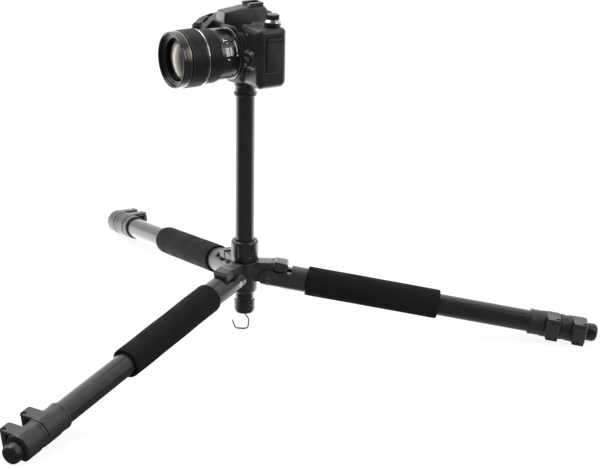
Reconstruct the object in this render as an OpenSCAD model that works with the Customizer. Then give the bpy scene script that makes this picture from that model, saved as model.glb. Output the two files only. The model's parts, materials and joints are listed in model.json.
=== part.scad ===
// Digital reflex camera on a low-spread tripod.
// +Z is up, the feet stand on z = 0, one leg points along -Y and the lens looks
// between that leg and the next one. Every tripod piece is drawn about the column
// axis, with z = 0 where the three leg axes meet it; row_frame() then moves it to the floor.

/* [Stance] */
// Slope of a spread leg below the horizontal, degrees
leg_slope = 9.3; // [8:0.1:12]
// Distance of each leg pivot from the column axis
pivot_radius = 32; // [31:0.5:36]
// Drop of the leg pivots below the point where the leg axes meet
pivot_drop = 8; // [7.5:0.5:11]
// Turn of the camera about the column, degrees, from the leg that points along -Y
camera_heading = -25.8; // [-60:0.1:60]

/* [Legs] */
// Outer radius of the upper leg tube
upper_tube_r = 14.5; // [14:0.1:15]
// Outer radius of the middle leg tube
mid_tube_r = 12.6; // [12.3:0.1:12.8]
// Outer radius of the lower leg tube
lower_tube_r = 10.8; // [10.4:0.1:11]
// Wall of the leg tubes
tube_wall = 1.2; // [1:0.1:1.3]
// Distance from the column axis to the barrel of the leg top, along the leg
barrel_start = 57; // [55:0.5:60]
// Exposed length of the leg top's barrel
barrel_len = 26; // [20:0.5:32]
// Length of the foam grip
grip_len = 177; // [120:1:190]
// Radial thickness of the foam grip
grip_thick = 5; // [3:0.5:5.5]
// Distance from the column axis to the first flip lock, along the leg
lock_start = 383.5; // [340:0.5:400]
// Length of the first lock's sleeve
sleeve_1_len = 18.5; // [14:0.5:24]
// Length of the second lock's sleeve
sleeve_2_len = 13; // [11:0.5:20]
// Length of a lock's clamp ring
clamp_len = 22; // [20:0.5:26]
// Outer radius of the locks
lock_r = 17.3; // [16.8:0.1:18.5]
// Length of the rubber foot past the last lock
foot_len = 16; // [14:0.5:30]
// Outer radius of the foot
foot_r = 12; // [11.8:0.1:12.5]

/* [Hub and column] */
// Outer radius of the centre column
column_r = 12.5; // [12:0.1:12.7]
// Wall of the centre column
column_wall = 1.5; // [1.2:0.1:2]
// Height of the column's top end above the leg axes
column_top = 238; // [220:1:300]
// Outer radius of the hub casting
hub_r = 16.8; // [16.5:0.1:18]
// Height of the hub's upper face above the leg axes
hub_top = 8; // [7:0.5:9]
// Depth of the hub's lower face below the leg axes
hub_drop = 30; // [26:0.5:31]
// Outer radius of the twist collar
collar_r = 18.2; // [17.8:0.1:19]
// Height of the twist collar
collar_height = 34; // [28:0.5:40]
// Width of a hub arm between the cheeks of its leg top
arm_width = 20; // [18:0.5:21]
// Outer radius of the column's end cap
cap_r = 13.9; // [13.7:0.1:14.5]
// Height of the column's end cap
cap_height = 19; // [16:0.5:20]
// Radius of the weight hook's wire
hook_wire_r = 1.25; // [1:0.05:1.5]

/* [Camera body] */
// Distance from the lens axis to the camera's grip-hand side
body_right = 82; // [80:0.5:90]
// Distance from the lens axis to the camera's other side
body_left = 63; // [61:0.5:68]
// Height of the shoulders above the base
shoulder_z = 76.5; // [75:0.5:80]
// Height of the lens axis above the base
lens_z = 36.5; // [35:0.5:39]
// Depth of the body shell, front to back
body_depth = 42; // [40:0.5:46]
// Distance from the tripod socket to the back face
body_back = 24; // [22:0.5:26]
// Height of the viewfinder hump above the base
hump_z = 95.5; // [94:0.5:99]

/* [Lens] */
// Distance from the tripod socket to the lens flange
flange_d = 25; // [24.5:0.5:27]
// Length of the lens from flange to front rim
lens_len = 81.5; // [79:0.5:95]
// Outer radius of the zoom ring
zoom_r = 36.3; // [36:0.1:38]
// Outer radius of the front rim
rim_r = 35.3; // [35:0.1:36]
// Wall of the front rim around the filter thread
rim_wall = 1.8; // [1.5:0.1:2.5]

/* [Fits] */
// Radial clearance of a running fit
run_fit = 0.05; // [0.02:0.01:0.08]
// Gap between faces that pass each other
face_gap = 0.3; // [0.2:0.05:0.5]

/* [Hidden] */
$fn = 64;
eps = 0.01;
leg_a = 30;
leg_b = 270;
leg_c = 150;

// Leg stations, along the leg axis from the column axis
barrel_end = barrel_start + barrel_len;
grip_start = barrel_end + 0.5;
clamp_1 = lock_start + sleeve_1_len;
clamp_1_end = clamp_1 + clamp_len;
sleeve_2 = clamp_1_end + face_gap;
clamp_2 = sleeve_2 + sleeve_2_len;
clamp_2_end = clamp_2 + clamp_len;
foot_start = clamp_2_end + face_gap;
foot_end = foot_start + foot_len;
foot_fillet = 5;
barrel_r = upper_tube_r + 1.8;
// Leg pivot in the leg's own frame, x along the leg and z square to it
pivot_x = pivot_radius * cos(leg_slope) + pivot_drop * sin(leg_slope);
pivot_z = pivot_radius * sin(leg_slope) - pivot_drop * cos(leg_slope);
pivot_bolt_r = 3;
bolt_head_r = 4.6;
bolt_head_in = 2.4;
ear_r = 12.5;
cheek_in = arm_width / 2 + face_gap;
// Top of the hub arm, and the face on which the angle latch stops
arm_top = 13.5;
latch_x = 37.5;
latch_len = 18.5;
latch_travel = 5;
latch_keel = 12;
latch_keel_depth = 4;
latch_seat = 9.2;
latch_top = 21.5;
// Flip lever pin, in the leg's frame
lever_pin_r = 2;
lever_pin_y = -22.5;
plate_end_y = -27.5;
plate_thick = 4.5;
lower_plate_z = -12.5;
lower_plate_thick = 3.5;
lever_pin_inset = 5.5;
// Column parts
bushing_wall = 1.6;
bushing_r = column_r + run_fit + bushing_wall;
neck_r = bushing_r + run_fit + 1.4;
neck_top = hub_top + collar_height - 8;
cap_top = -hub_drop - 11;
cap_bottom = cap_top - cap_height;
plate_thick_low = 4.3;
plate_top = column_top + 20;
camera_base = plate_top + 0.5;
screw_r = 3.175;
// Floor below the leg axes: the lowest point of a foot's rounded rim
floor_z = -((foot_end - foot_fillet) * sin(leg_slope)
    + (foot_r - foot_fillet) * cos(leg_slope) + foot_fillet);
// Reach of the feet and of the lock plates along +Y and -Y, which centres the model's box
reach_back_foot = (foot_end - foot_fillet) * sin(leg_a) * cos(leg_slope)
    + (foot_r - foot_fillet) * sqrt(1 - pow(sin(leg_a) * cos(leg_slope), 2)) + foot_fillet;
reach_back_plate = (clamp_2_end - 2) * sin(leg_c) * cos(leg_slope)
    + (lock_r * sin(leg_slope)) * sin(leg_c) - plate_end_y * sin(leg_c - 90);
reach_front = (foot_end - foot_fillet) * cos(leg_slope)
    + (foot_r - foot_fillet) * sin(leg_slope) + foot_fillet;
frame_shift = [0, (reach_front - max(reach_back_foot, reach_back_plate)) / 2, -floor_z];
// Lens stations, along the lens axis from the tripod socket
front_d = flange_d + lens_len;
focus_d = flange_d + 27;
focus_len = 16;
band_d = focus_d + focus_len + 1;
band_len = 3.5;
zoom_d = band_d + band_len + face_gap;
zoom_len = 20.5;
head_d = zoom_d + zoom_len + face_gap;
barrel_out = zoom_r - 3.3;
barrel_in = barrel_out - 2.6;
filter_r = rim_r - rim_wall;
throat_r = filter_r - 6.1;
// Camera stations
body_front = body_back - body_depth;
deck_z = shoulder_z - 8;
plan_corner = 8;
base_corner = 11;
flash_hinge = [-5, hump_z - 5];
flash_floor = hump_z - 19;
hump_half = 31;
boss_r = 38;
mirror_box_r = 27;
finder_z = hump_z - 18;
// Hand grip: a round column in front of the body, whose head slopes down forwards
grip_c = [-body_right + 17.5, body_front - 9];
grip_r = 16;
grip_front = grip_c[1] - grip_r;
grip_head = shoulder_z - 19.5;
grip_rise = 0.5;
grip_top = grip_head - 4;
button_y = grip_front + 9;
button_top = grip_head + grip_rise * (button_y - grip_front) + 3.2;
button_r = 5;
wheel_y = grip_front + 23;
wheel_z = grip_head + grip_rise * (wheel_y - grip_front) - 5.2;
wheel_r = 7.5;
// Mode dial on the shoulder
dial_x = 46;
dial_y = 12;
dial_r = 10.5;
// Screen and dial on the back
screen_x = -4;
screen_z = 36;
screen_w = 70;
screen_h = 48;
rear_dial_x = -61;
rear_dial_z = 31;
rear_dial_r = 16.8;
// Door over the sockets on the side, hinged along its rear edge
port_y = 5;
port_z = 44;
port_w = 23;
port_h = 43;
port_thick = 1.9;
port_hinge = [body_left + 0.6 - port_thick / 2, port_y + port_w / 2];
// Button that frees the lens
release_x = 46;
release_z = lens_z;
release_r = 5.2;

function ring_arc(c, r, a0, a1, n) =
    [for (i = [0 : n]) c + r * [cos(a0 + (a1 - a0) * i / n), sin(a0 + (a1 - a0) * i / n)]];

module row_frame() {
    translate(frame_shift) children();
}

module in_leg(azimuth) {
    row_frame() rotate([0, 0, azimuth]) rotate([0, leg_slope, 0]) children();
}

// Turns a solid drawn along +Z so that it lies along the leg, +X
module along_leg(x) {
    translate([x, 0, 0]) rotate([0, 90, 0]) children();
}

module on_camera() {
    row_frame() rotate([0, 0, camera_heading]) translate([0, 0, camera_base]) children();
}

// Turns a solid drawn along +Z so that it lies along the lens axis, -Y
module along_lens() {
    on_camera() translate([0, 0, lens_z]) rotate([90, 0, 0]) children();
}

module pipe(r_out, r_in, len) {
    difference() {
        cylinder(r = r_out, h = len);
        translate([0, 0, -1]) cylinder(r = r_in, h = len + 2);
    }
}

// Rounded rectangle as squares and corner circles, so that its corners stay true arcs
module round_rect(w, h, r) {
    translate([-w / 2 + r, -h / 2]) square([w - 2 * r, h]);
    translate([-w / 2, -h / 2 + r]) square([w, h - 2 * r]);
    for (x = [-1, 1], y = [-1, 1])
        translate([x * (w / 2 - r), y * (h / 2 - r)]) circle(r = r);
}

// Side outline laid in the plane of x and z, and given a width along y
module side_plate(y0, width) {
    translate([0, y0 + width, 0]) rotate([90, 0, 0]) linear_extrude(width) children();
}

/* ---- hub ---- */

// A point of the leg's own frame, x along the leg and z square to it, as radius and height
function leg_point(x, z) =
    [x * cos(leg_slope) + z * sin(leg_slope), z * cos(leg_slope) - x * sin(leg_slope)];

// The arm ends in a face that the angle latch butts against when the leg is spread
stop_low = leg_point(latch_x - face_gap, latch_seat + 0.3);
stop_high = leg_point(latch_x - face_gap, latch_seat + (arm_top - stop_low[1]) / cos(leg_slope));

module arm_outline() {
    polygon(concat(
        [[8, arm_top - 1], [10, arm_top], [stop_high[0] - 1, arm_top], stop_high, stop_low],
        ring_arc([pivot_radius, -pivot_drop], ear_r - 2, 45, -145, 14),
        [[8, -pivot_drop - 4]]
    ));
}

module hub_arm() {
    difference() {
        side_plate(-arm_width / 2, arm_width) arm_outline();
        translate([pivot_radius, arm_width, -pivot_drop]) rotate([90, 0, 0])
            cylinder(r = pivot_bolt_r + run_fit, h = 2 * arm_width);
        // Serrations across the arm's upper face
        for (x = [hub_r + 2 : 2.4 : stop_high[0] - 2])
            translate([x, -arm_width / 2 - 1, arm_top - 0.7]) cube([1.1, arm_width + 2, 2]);
    }
}

module hub_casting() {
    color("#2b2b2d") row_frame() difference() {
        union() {
            translate([0, 0, -hub_drop]) rotate_extrude() polygon([
                [0, 0], [hub_r - 2, 0], [hub_r, 3.5], [hub_r, hub_drop + hub_top], [0, hub_drop + hub_top]
            ]);
            cylinder(r = neck_r, h = neck_top);
            difference() {
                for (a = [leg_a, leg_b, leg_c]) rotate([0, 0, a]) hub_arm();
                translate([0, 0, hub_top]) cylinder(r = collar_r + 0.5, h = collar_height);
            }
        }
        translate([0, 0, -hub_drop - 1]) cylinder(r = bushing_r + run_fit, h = hub_drop + neck_top + 2);
        // Slots that let the neck's jaws close on the bushing
        for (a = [0, 60, 120]) rotate([0, 0, a])
            translate([-neck_r - 1, -0.8, hub_top + 6]) cube([2 * neck_r + 2, 1.6, neck_top]);
    }
}

module pivot_bolt() {
    head_y = barrel_r - bolt_head_in;
    translate([pivot_x, 0, pivot_z]) rotate([90, 0, 0]) difference() {
        union() {
            translate([0, 0, -head_y]) cylinder(r = pivot_bolt_r, h = 2 * head_y);
            translate([0, 0, head_y]) cylinder(r = bolt_head_r, h = 1.8);
            translate([0, 0, -head_y - 1.8]) cylinder(r = bolt_head_r, h = 1.8);
        }
        translate([0, 0, head_y]) cylinder(r = 2.2, h = 5, $fn = 6);
    }
}

module pivot_bolts() {
    color("#1b1b1c") for (a = [leg_a, leg_b, leg_c]) in_leg(a) pivot_bolt();
}

module twist_collar() {
    top = hub_top + face_gap + collar_height;
    low = hub_top + face_gap;
    color("#252526") row_frame() difference() {
        rotate_extrude() polygon(concat(
            [[neck_r + run_fit, low]],
            [[collar_r - 2, low], [collar_r - 1, low + 2.5], [collar_r - 0.3, low + 7]],
            [[collar_r, low + 11], [collar_r, top - 3.5]],
            ring_arc([collar_r - 2.5, top - 2.5], 2.5, 0, 90, 5),
            [[column_r + 0.6, top], [column_r + 0.6, neck_top + 0.8], [neck_r + run_fit, neck_top + 0.8]]
        ));
        // Finger flutes, each a shallow teardrop that widens downwards
        for (i = [0 : 5]) rotate([0, 0, 30 + 60 * i])
            translate([collar_r + 2.6, 0, low + 9]) rotate([0, 6, 0]) cylinder(r = 4.4, h = 16);
    }
}

module column_bushing() {
    low = -hub_drop;
    color("#3a3a3c") row_frame() difference() {
        translate([0, 0, low]) cylinder(r = bushing_r, h = neck_top - low - 2);
        translate([0, 0, low - 1]) cylinder(r = column_r + run_fit, h = neck_top - low + 2);
        // The bushing is split along its length
        translate([bushing_r - 4, -0.6, low - 1]) cube([6, 1.2, neck_top - low + 2]);
    }
}

/* ---- column ---- */

module column_tube() {
    color("#161617") row_frame() translate([0, 0, cap_top - 8])
        pipe(column_r, column_r - column_wall, column_top - cap_top + 8);
}

module camera_plate() {
    spigot_r = column_r - column_wall - run_fit;
    color("#1d1d1e") row_frame() difference() {
        union() {
            translate([0, 0, column_top - 14]) cylinder(r = spigot_r, h = 14 + eps);
            translate([0, 0, column_top]) rotate_extrude() polygon(concat(
                [[0, 0]],
                ring_arc([14.2, 1], 1, -90, 0, 3),
                ring_arc([14.2, plate_thick_low - 1], 1, 0, 90, 3),
                [[13.9, plate_thick_low + 0.5], [13.5, plate_thick_low + 8], [15, plate_thick_low + 9.5]],
                [[15, plate_top - column_top - 0.6], [14.4, plate_top - column_top], [0, plate_top - column_top]]
            ));
        }
        translate([0, 0, column_top - 15]) cylinder(r = screw_r + run_fit, h = 60);
        translate([0, 0, column_top - 15]) cylinder(r = 6, h = 14);
    }
}

module camera_screw() {
    color("#9a9a9c") row_frame() {
        translate([0, 0, column_top - 4]) cylinder(r = 5.6, h = 3);
        translate([0, 0, column_top - 1 - eps])
            cylinder(r = screw_r, h = camera_base + 5 - column_top + 1);
    }
}

module end_cap() {
    color("#222223") row_frame() difference() {
        union() {
            translate([0, 0, cap_bottom]) rotate_extrude() polygon(concat(
                [[0, 0]],
                ring_arc([cap_r - 4.5, 4.5], 4.5, -90, 0, 6),
                [[cap_r, 8.6], [cap_r - 0.7, 9.2], [cap_r - 0.7, 10], [cap_r, 10.6]],
                [[cap_r, cap_height - 5.4], [cap_r - 0.7, cap_height - 4.8]],
                [[cap_r - 0.7, cap_height - 4.2], [cap_r, cap_height - 3.6]],
                [[cap_r, cap_height - 1], [cap_r - 1, cap_height], [0, cap_height]]
            ));
        }
        // Socket that the column's end sits in
        translate([0, 0, cap_top - 8]) cylinder(r = column_r + run_fit, h = 20);
        translate([0, 0, cap_bottom - 1]) cylinder(r = hook_wire_r + run_fit, h = cap_height + 2);
        translate([0, 0, cap_top - 12]) cylinder(r = 4, h = 5);
    }
}

// Hook: straight stem through the cap, then bends in the plane of x and z
hook_floor = floor_z + 2.2 + hook_wire_r;
hook_turn = 35;
stem_end = cap_bottom - 1.5;
hook_bends = [
    [0, stem_end + 1], [0.4, stem_end - 1.5], [4.6, stem_end - 8], [5.4, (stem_end + hook_floor) / 2],
    [4.6, hook_floor + 3], [1.8, hook_floor + 0.2], [-5, hook_floor], [-10.8, hook_floor + 1],
    [-13.2, hook_floor + 4], [-16, hook_floor + 11.5]
];

// Smooth curve through a row of points: each stretch leaves and enters along its neighbours' chord
function through(p, i, t) =
    let (n = len(p) - 1, a = p[max(i - 1, 0)], b = p[i], c = p[i + 1], d = p[min(i + 2, n)])
    0.5 * (2 * b + (c - a) * t + (2 * a - 5 * b + 4 * c - d) * t * t
        + (3 * b - a - 3 * c + d) * t * t * t);

function smooth_path(p, steps) = concat(
    [for (i = [0 : len(p) - 2], k = [0 : steps - 1]) through(p, i, k / steps)], [p[len(p) - 1]]);

// Round wire swept along a path in the plane of x and z
module wire(path, r, sides = 10) {
    last = len(path) - 1;
    rings = [for (i = [0 : last]) let (
        d = path[min(i + 1, last)] - path[max(i - 1, 0)],
        u = [d[1], -d[0]] / norm(d)
    ) for (k = [0 : sides - 1]) [
        path[i][0] + r * cos(360 * k / sides) * u[0],
        r * sin(360 * k / sides),
        path[i][1] + r * cos(360 * k / sides) * u[1]
    ]];
    skin = [for (i = [0 : last - 1], k = [0 : sides - 1]) let (m = (k + 1) % sides)
        [i * sides + k, (i + 1) * sides + k, (i + 1) * sides + m, i * sides + m]];
    first_end = [for (k = [0 : sides - 1]) k];
    last_end = [for (k = [sides - 1 : -1 : 0]) last * sides + k];
    polyhedron(rings, concat([first_end], skin, [last_end]));
}

module weight_hook() {
    color("#b9b9ba") row_frame() rotate([0, 0, hook_turn]) {
        wire(smooth_path(hook_bends, 5), hook_wire_r - 0.03);
        translate([0, 0, stem_end]) cylinder(r = hook_wire_r, h = cap_top - 11 - stem_end);
        translate([0, 0, cap_top - 11.5]) cylinder(r = 3, h = 2.5);
    }
}

/* ---- legs ---- */

module cheek_outline() {
    polygon(concat(
        ring_arc([pivot_x, pivot_z], ear_r, 100, 262, 14),
        [[barrel_start + 4, -barrel_r], [barrel_start + 4, barrel_r - 5]],
        [[latch_x + latch_len + 6, barrel_r - 5], [latch_x + 4, barrel_r - 10]]
    ));
}

module leg_top(azimuth) {
    web_x = latch_x + latch_len - 5;
    color("#343436") in_leg(azimuth) difference() {
        intersection() {
            union() {
                side_plate(cheek_in, barrel_r) cheek_outline();
                side_plate(-cheek_in - barrel_r, barrel_r) cheek_outline();
                // Barrel, and the web that joins the cheeks ahead of the hub arm
                translate([barrel_start, -30, -30]) cube([barrel_len, 60, 60]);
                translate([web_x, -30, -barrel_r + 2]) cube([barrel_start - web_x + 2, 60, 2 * barrel_r - 8]);
            }
            along_leg(pivot_x - ear_r - 1) rotate_extrude() polygon([
                [0, 0], [barrel_r, 0], [barrel_r, barrel_end - pivot_x + ear_r],
                [barrel_r - 1, barrel_end - pivot_x + ear_r + 1], [0, barrel_end - pivot_x + ear_r + 1]
            ]);
        }
        // Socket for the tube, and the casting's core behind it
        along_leg(barrel_start + 9) cylinder(r = upper_tube_r + run_fit, h = barrel_len);
        along_leg(barrel_start + 3) cylinder(r = upper_tube_r - 5, h = barrel_len);
        // Cored pockets in the end of the casting, on both sides of the rib
        for (y = [-9.4, 2.4]) translate([web_x - 1, y, -9]) cube([8, 7, 14]);
        // Slot that the latch's keel slides in, and the seat above it
        translate([latch_x - 1, -latch_keel / 2 - face_gap, latch_seat - latch_keel_depth - face_gap])
            cube([latch_len + latch_travel + 1, latch_keel + 2 * face_gap, 20]);
        translate([latch_x - 3, -barrel_r - 1, latch_seat])
            cube([latch_len + latch_travel + 3.5, 2 * barrel_r + 2, 20]);
        translate([pivot_x, 30, pivot_z]) rotate([90, 0, 0])
            cylinder(r = pivot_bolt_r + run_fit, h = 60);
        for (y = [barrel_r - bolt_head_in - face_gap, -barrel_r + bolt_head_in + face_gap - 10])
            translate([pivot_x, y + 10, pivot_z]) rotate([90, 0, 0])
                cylinder(r = bolt_head_r + face_gap, h = 10);
    }
}

module angle_latch(azimuth) {
    low = latch_seat + 0.1;
    color("#6f7072") in_leg(azimuth) difference() {
        union() {
            translate([latch_x + latch_len / 2, 0, low]) linear_extrude(latch_top - low)
                round_rect(latch_len, arm_width + 1, 2.5);
            translate([latch_x + 4, -latch_keel / 2, low - latch_keel_depth])
                cube([latch_len - 5, latch_keel, latch_keel_depth + 1]);
        }
        // Serrations across the top
        for (i = [0 : 5])
            translate([latch_x + 3 + i * 2.3, -arm_width, latch_top - 0.8]) cube([1.1, 2 * arm_width, 2]);
        // Bevel along the outer end of the thumb pad
        translate([latch_x + latch_len, -arm_width, latch_top - 3]) rotate([0, -45, 0])
            cube([10, 2 * arm_width, 10]);
    }
}

module upper_tube(azimuth) {
    color("#161618") in_leg(azimuth) along_leg(barrel_start + 9.5)
        pipe(upper_tube_r, upper_tube_r - tube_wall, clamp_1 - barrel_start - 10);
}

module foam_grip(azimuth) {
    r = upper_tube_r + grip_thick;
    color("#1e1e1e") in_leg(azimuth) along_leg(grip_start) rotate_extrude() polygon(concat(
        [[upper_tube_r + run_fit, 0]],
        ring_arc([r - 2.5, 2.5], 2.5, -90, 0, 5),
        ring_arc([r - 2.5, grip_len - 2.5], 2.5, 0, 90, 5),
        [[upper_tube_r + run_fit, grip_len]]
    ));
}

// Flip lock: a sleeve fixed on one tube and a split ring around the next, thinner tube
module flip_lock(x0, sleeve_len, outer_tube_r, inner_tube_r) {
    ring_x = x0 + sleeve_len;
    ring_end = ring_x + clamp_len;
    pin_x = ring_end - lever_pin_inset;
    difference() {
        union() {
            along_leg(x0) rotate_extrude() polygon([
                [0, 0], [lock_r - 1.3, 0], [lock_r - 0.3, 1], [lock_r - 0.3, 4], [lock_r - 1.1, 4.6],
                [lock_r - 1.1, sleeve_len - 3], [lock_r, sleeve_len - 2],
                [lock_r, sleeve_len + clamp_len - 1.5], [lock_r - 1.5, sleeve_len + clamp_len],
                [0, sleeve_len + clamp_len]
            ]);
            // Clamp plates above and below the lever
            translate([ring_x + 2, plate_end_y + 3, lock_r - plate_thick])
                cube([clamp_len - 4, -plate_end_y - 3, plate_thick]);
            translate([ring_x + 5, plate_end_y, lock_r - plate_thick])
                cube([clamp_len - 10, -plate_end_y, plate_thick]);
            for (x = [ring_x + 5, ring_end - 5])
                translate([x, plate_end_y + 3, lock_r - plate_thick]) cylinder(r = 3, h = plate_thick);
            translate([ring_x + 4, plate_end_y + 1, lower_plate_z])
                cube([clamp_len - 6, -plate_end_y - 9, lower_plate_thick]);
            translate([pin_x, lever_pin_y, lower_plate_z])
                cylinder(r = lever_pin_r, h = lock_r - lower_plate_z - 1);
        }
        along_leg(x0 - 1) cylinder(r = outer_tube_r + run_fit, h = sleeve_len + 1 - 0.5);
        along_leg(x0) cylinder(r = inner_tube_r + run_fit, h = sleeve_len + clamp_len + 1);
        // Slit that lets the ring close
        translate([ring_x + 1, -lock_r - 1, -0.8]) cube([clamp_len + 1, lock_r - 4, 1.6]);
        // Round recess with the pin's socket head
        difference() {
            translate([pin_x, lever_pin_y, lock_r - 1.2]) cylinder(r = 3.3, h = 4);
            translate([pin_x, lever_pin_y, lock_r - 1.3]) cylinder(r = 1.2, h = 1);
        }
    }
}

// Lever between the plates: a cam boss on the pin, an arm along the tube and a ribbed pad
module flip_lever(x0, sleeve_len) {
    ring_x = x0 + sleeve_len;
    pin_x = ring_x + clamp_len - lever_pin_inset;
    low = lower_plate_z + lower_plate_thick + 0.2;
    tall = lock_r - plate_thick - 0.2 - low;
    arm = pin_x - ring_x - 1;
    translate([pin_x, lever_pin_y, low]) difference() {
        union() {
            cylinder(r = 4.3, h = tall);
            linear_extrude(tall) polygon([
                [0, -4.3], [0, 1.5], [-arm + 3, 1.9], [-arm + 0.5, 0.6], [-arm, -1.8],
                [-arm + 1.2, -4.6], [-arm + 4, -6.2], [-5, -5.6]
            ]);
        }
        translate([0, 0, -1]) cylinder(r = lever_pin_r + run_fit, h = tall + 2);
        for (i = [0 : 4]) translate([-arm + 2.2 + i * 2.3, -8, 2]) cube([1, 3, tall - 4]);
    }
}

module lock_upper(azimuth) {
    color("#2a2a2c") in_leg(azimuth) flip_lock(lock_start, sleeve_1_len, upper_tube_r, mid_tube_r);
}

module lever_upper(azimuth) {
    color("#3c3c3e") in_leg(azimuth) flip_lever(lock_start, sleeve_1_len);
}

module lock_lower(azimuth) {
    color("#2a2a2c") in_leg(azimuth) flip_lock(sleeve_2, sleeve_2_len, mid_tube_r, lower_tube_r);
}

module lever_lower(azimuth) {
    color("#3c3c3e") in_leg(azimuth) flip_lever(sleeve_2, sleeve_2_len);
}

module mid_tube(azimuth) {
    color("#1a1a1c") in_leg(azimuth) along_leg(barrel_start + 22)
        pipe(mid_tube_r, mid_tube_r - tube_wall, clamp_2 - barrel_start - 23);
}

module lower_tube(azimuth) {
    color("#1a1a1c") in_leg(azimuth) along_leg(barrel_start + 30)
        pipe(lower_tube_r, lower_tube_r - tube_wall, foot_start + 8 - barrel_start - 30);
}

module foot(azimuth) {
    color("#171717") in_leg(azimuth) difference() {
        along_leg(foot_start) rotate_extrude() polygon(concat(
            [[0, 0], [foot_r - 0.6, 0], [foot_r - 0.6, 3], [foot_r, 3.8]],
            ring_arc([foot_r - foot_fillet, foot_len - foot_fillet], foot_fillet, 0, 90, 7),
            [[0, foot_len]]
        ));
        along_leg(foot_start - 1) cylinder(r = lower_tube_r + run_fit, h = 9);
        along_leg(foot_end - 1) difference() {
            cylinder(r = 5.6, h = 3);
            cylinder(r = 4.4, h = 3);
        }
    }
}

/* ---- camera body ---- */

// Plan outline of the body shell, x across and y from front to back
module body_plan(inset = 0) {
    translate([(body_left - body_right) / 2, body_back - body_depth / 2])
        round_rect(body_left + body_right - 2 * inset, body_depth - 2 * inset, plan_corner);
}

// Front outline of the shell, laid in x and z
module body_face(z0, z1, r) {
    translate([0, 60, 0]) rotate([90, 0, 0]) linear_extrude(120)
        translate([(body_left - body_right) / 2, (z0 + z1) / 2])
            round_rect(body_left + body_right, z1 - z0, r);
}

// Side outline of the shell, laid in y and z, with its lower corners rounded
module body_side(z1) {
    rotate([90, 0, 90]) translate([body_back - body_depth / 2, z1 / 2, -120]) linear_extrude(240)
        round_rect(body_depth, z1, base_corner);
}

module lens_boss() {
    translate([0, body_front + 3, lens_z]) rotate([90, 0, 0])
        cylinder(r = boss_r, h = flange_d + body_front + 3 - 1);
}

module mirror_box() {
    translate([0, 0, lens_z]) rotate([90, 0, 0]) cylinder(r = mirror_box_r, h = 60);
}

// Core of the hand grip, r larger for its skin
module grip_core(r, low) {
    intersection() {
        union() {
            translate([grip_c[0], grip_c[1], low]) cylinder(r = r, h = shoulder_z);
            translate([grip_c[0] - r, grip_c[1], low]) cube([2 * r, 14, shoulder_z]);
        }
        rotate([90, 0, 90]) translate([0, 0, -120]) linear_extrude(240) polygon([
            [grip_front - 5, 0], [body_front + 6, 0],
            [body_front + 6, min(deck_z - 1.3, grip_head + grip_rise * (body_front + 6 - grip_front))],
            [body_front - 2, min(deck_z - 1.3, grip_head + grip_rise * (body_front - 2 - grip_front))],
            [grip_front - 5, grip_head - 5 * grip_rise]
        ]);
    }
}

module wheel_slot() {
    translate([grip_c[0] - 3.5, wheel_y - wheel_r - 0.6, wheel_z - wheel_r - 0.6])
        cube([7, 2 * wheel_r + 1.2, 60]);
}

module camera_body() {
    color("#1c1c1e") on_camera() difference() {
        union() {
            intersection() {
                linear_extrude(deck_z) body_plan();
                body_face(0, shoulder_z + 20, 9);
                body_side(shoulder_z + 20);
            }
            // Lens housing, a round boss that runs into the base
            intersection() {
                lens_boss();
                translate([-50, -60, 0]) cube([100, 100, deck_z]);
            }
            translate([-27, -flange_d + 4, 2]) cube([54, 20, 20]);
            // Shoulder round the lens release
            translate([release_x, body_front + 3, release_z]) rotate([90, 0, 0])
                cylinder(r = release_r + 2.6, h = flange_d + body_front + 1.2);
            translate([20, 1.8 - flange_d, release_z - release_r - 2.6])
                cube([release_x - 20, flange_d + body_front + 1.2, 2 * release_r + 5.2]);
            grip_core(grip_r, 3);
        }
        mirror_box();
        wheel_slot();
        // Well of the shutter button
        translate([grip_c[0], button_y, button_top - 9.5]) cylinder(r = button_r + run_fit, h = 30);
        translate([0, 0, -1]) cylinder(r = screw_r + run_fit, h = 7);
        // Bed of the screen and well of the rear dial
        translate([screen_x, body_back + 1, screen_z]) rotate([90, 0, 0]) linear_extrude(2.6)
            round_rect(screen_w + 0.6, screen_h + 0.6, 3);
        translate([rear_dial_x, body_back + 1, rear_dial_z]) rotate([90, 0, 0])
            cylinder(r = rear_dial_r + 0.7, h = 3);
        // Bed of the port cover and of its hinge pin
        translate([body_left - 1.5, port_y, port_z]) rotate([0, 90, 0]) linear_extrude(4)
            round_rect(port_h + 0.6, port_w + 0.6, 3);
        translate([port_hinge[0], port_hinge[1], port_z - port_h / 2 - 0.3])
            cylinder(r = port_thick / 2 + 0.3, h = port_h + 0.6);
        // Well of the lens release
        translate([release_x, body_front + 5, release_z]) rotate([90, 0, 0])
            cylinder(r = release_r + run_fit, h = 30);
        // The top cover's flange seats in a step around the rim
        translate([0, 0, deck_z - 1.2]) linear_extrude(4) difference() {
            body_plan(-3);
            body_plan(1.2);
        }
    }
}

module grip_skin() {
    color("#242424") on_camera() difference() {
        intersection() {
            union() {
                translate([grip_c[0], grip_c[1], 6]) cylinder(r = grip_r + 1.4, h = grip_top - 6);
                translate([grip_c[0] - grip_r - 1.4, grip_c[1], 6]) cube([2 * grip_r + 2.8, 8, grip_top - 6]);
            }
            translate([-body_right - 0.5, -70, 0]) cube([60, 70 + body_front + 1, 100]);
        }
        translate([grip_c[0], grip_c[1], 0]) cylinder(r = grip_r + run_fit, h = 100);
        translate([grip_c[0] - grip_r - run_fit, grip_c[1], 0]) cube([2 * grip_r + 2 * run_fit, 14, 100]);
        linear_extrude(100) body_plan(-run_fit);
    }
}

// Side outline of the viewfinder hump, y from front to back and z up
module hump_profile() {
    polygon(concat(
        [[-flange_d + 1.5, deck_z], [-flange_d + 1.5, flash_floor - 3]],
        [[-flange_d - 12, flash_floor], [-34, hump_z - 8], [-26, hump_z - 3]],
        [[-4, hump_z], [body_back - 4, hump_z], [body_back - 1, hump_z - 3], [body_back, deck_z]]
    ));
}

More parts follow.
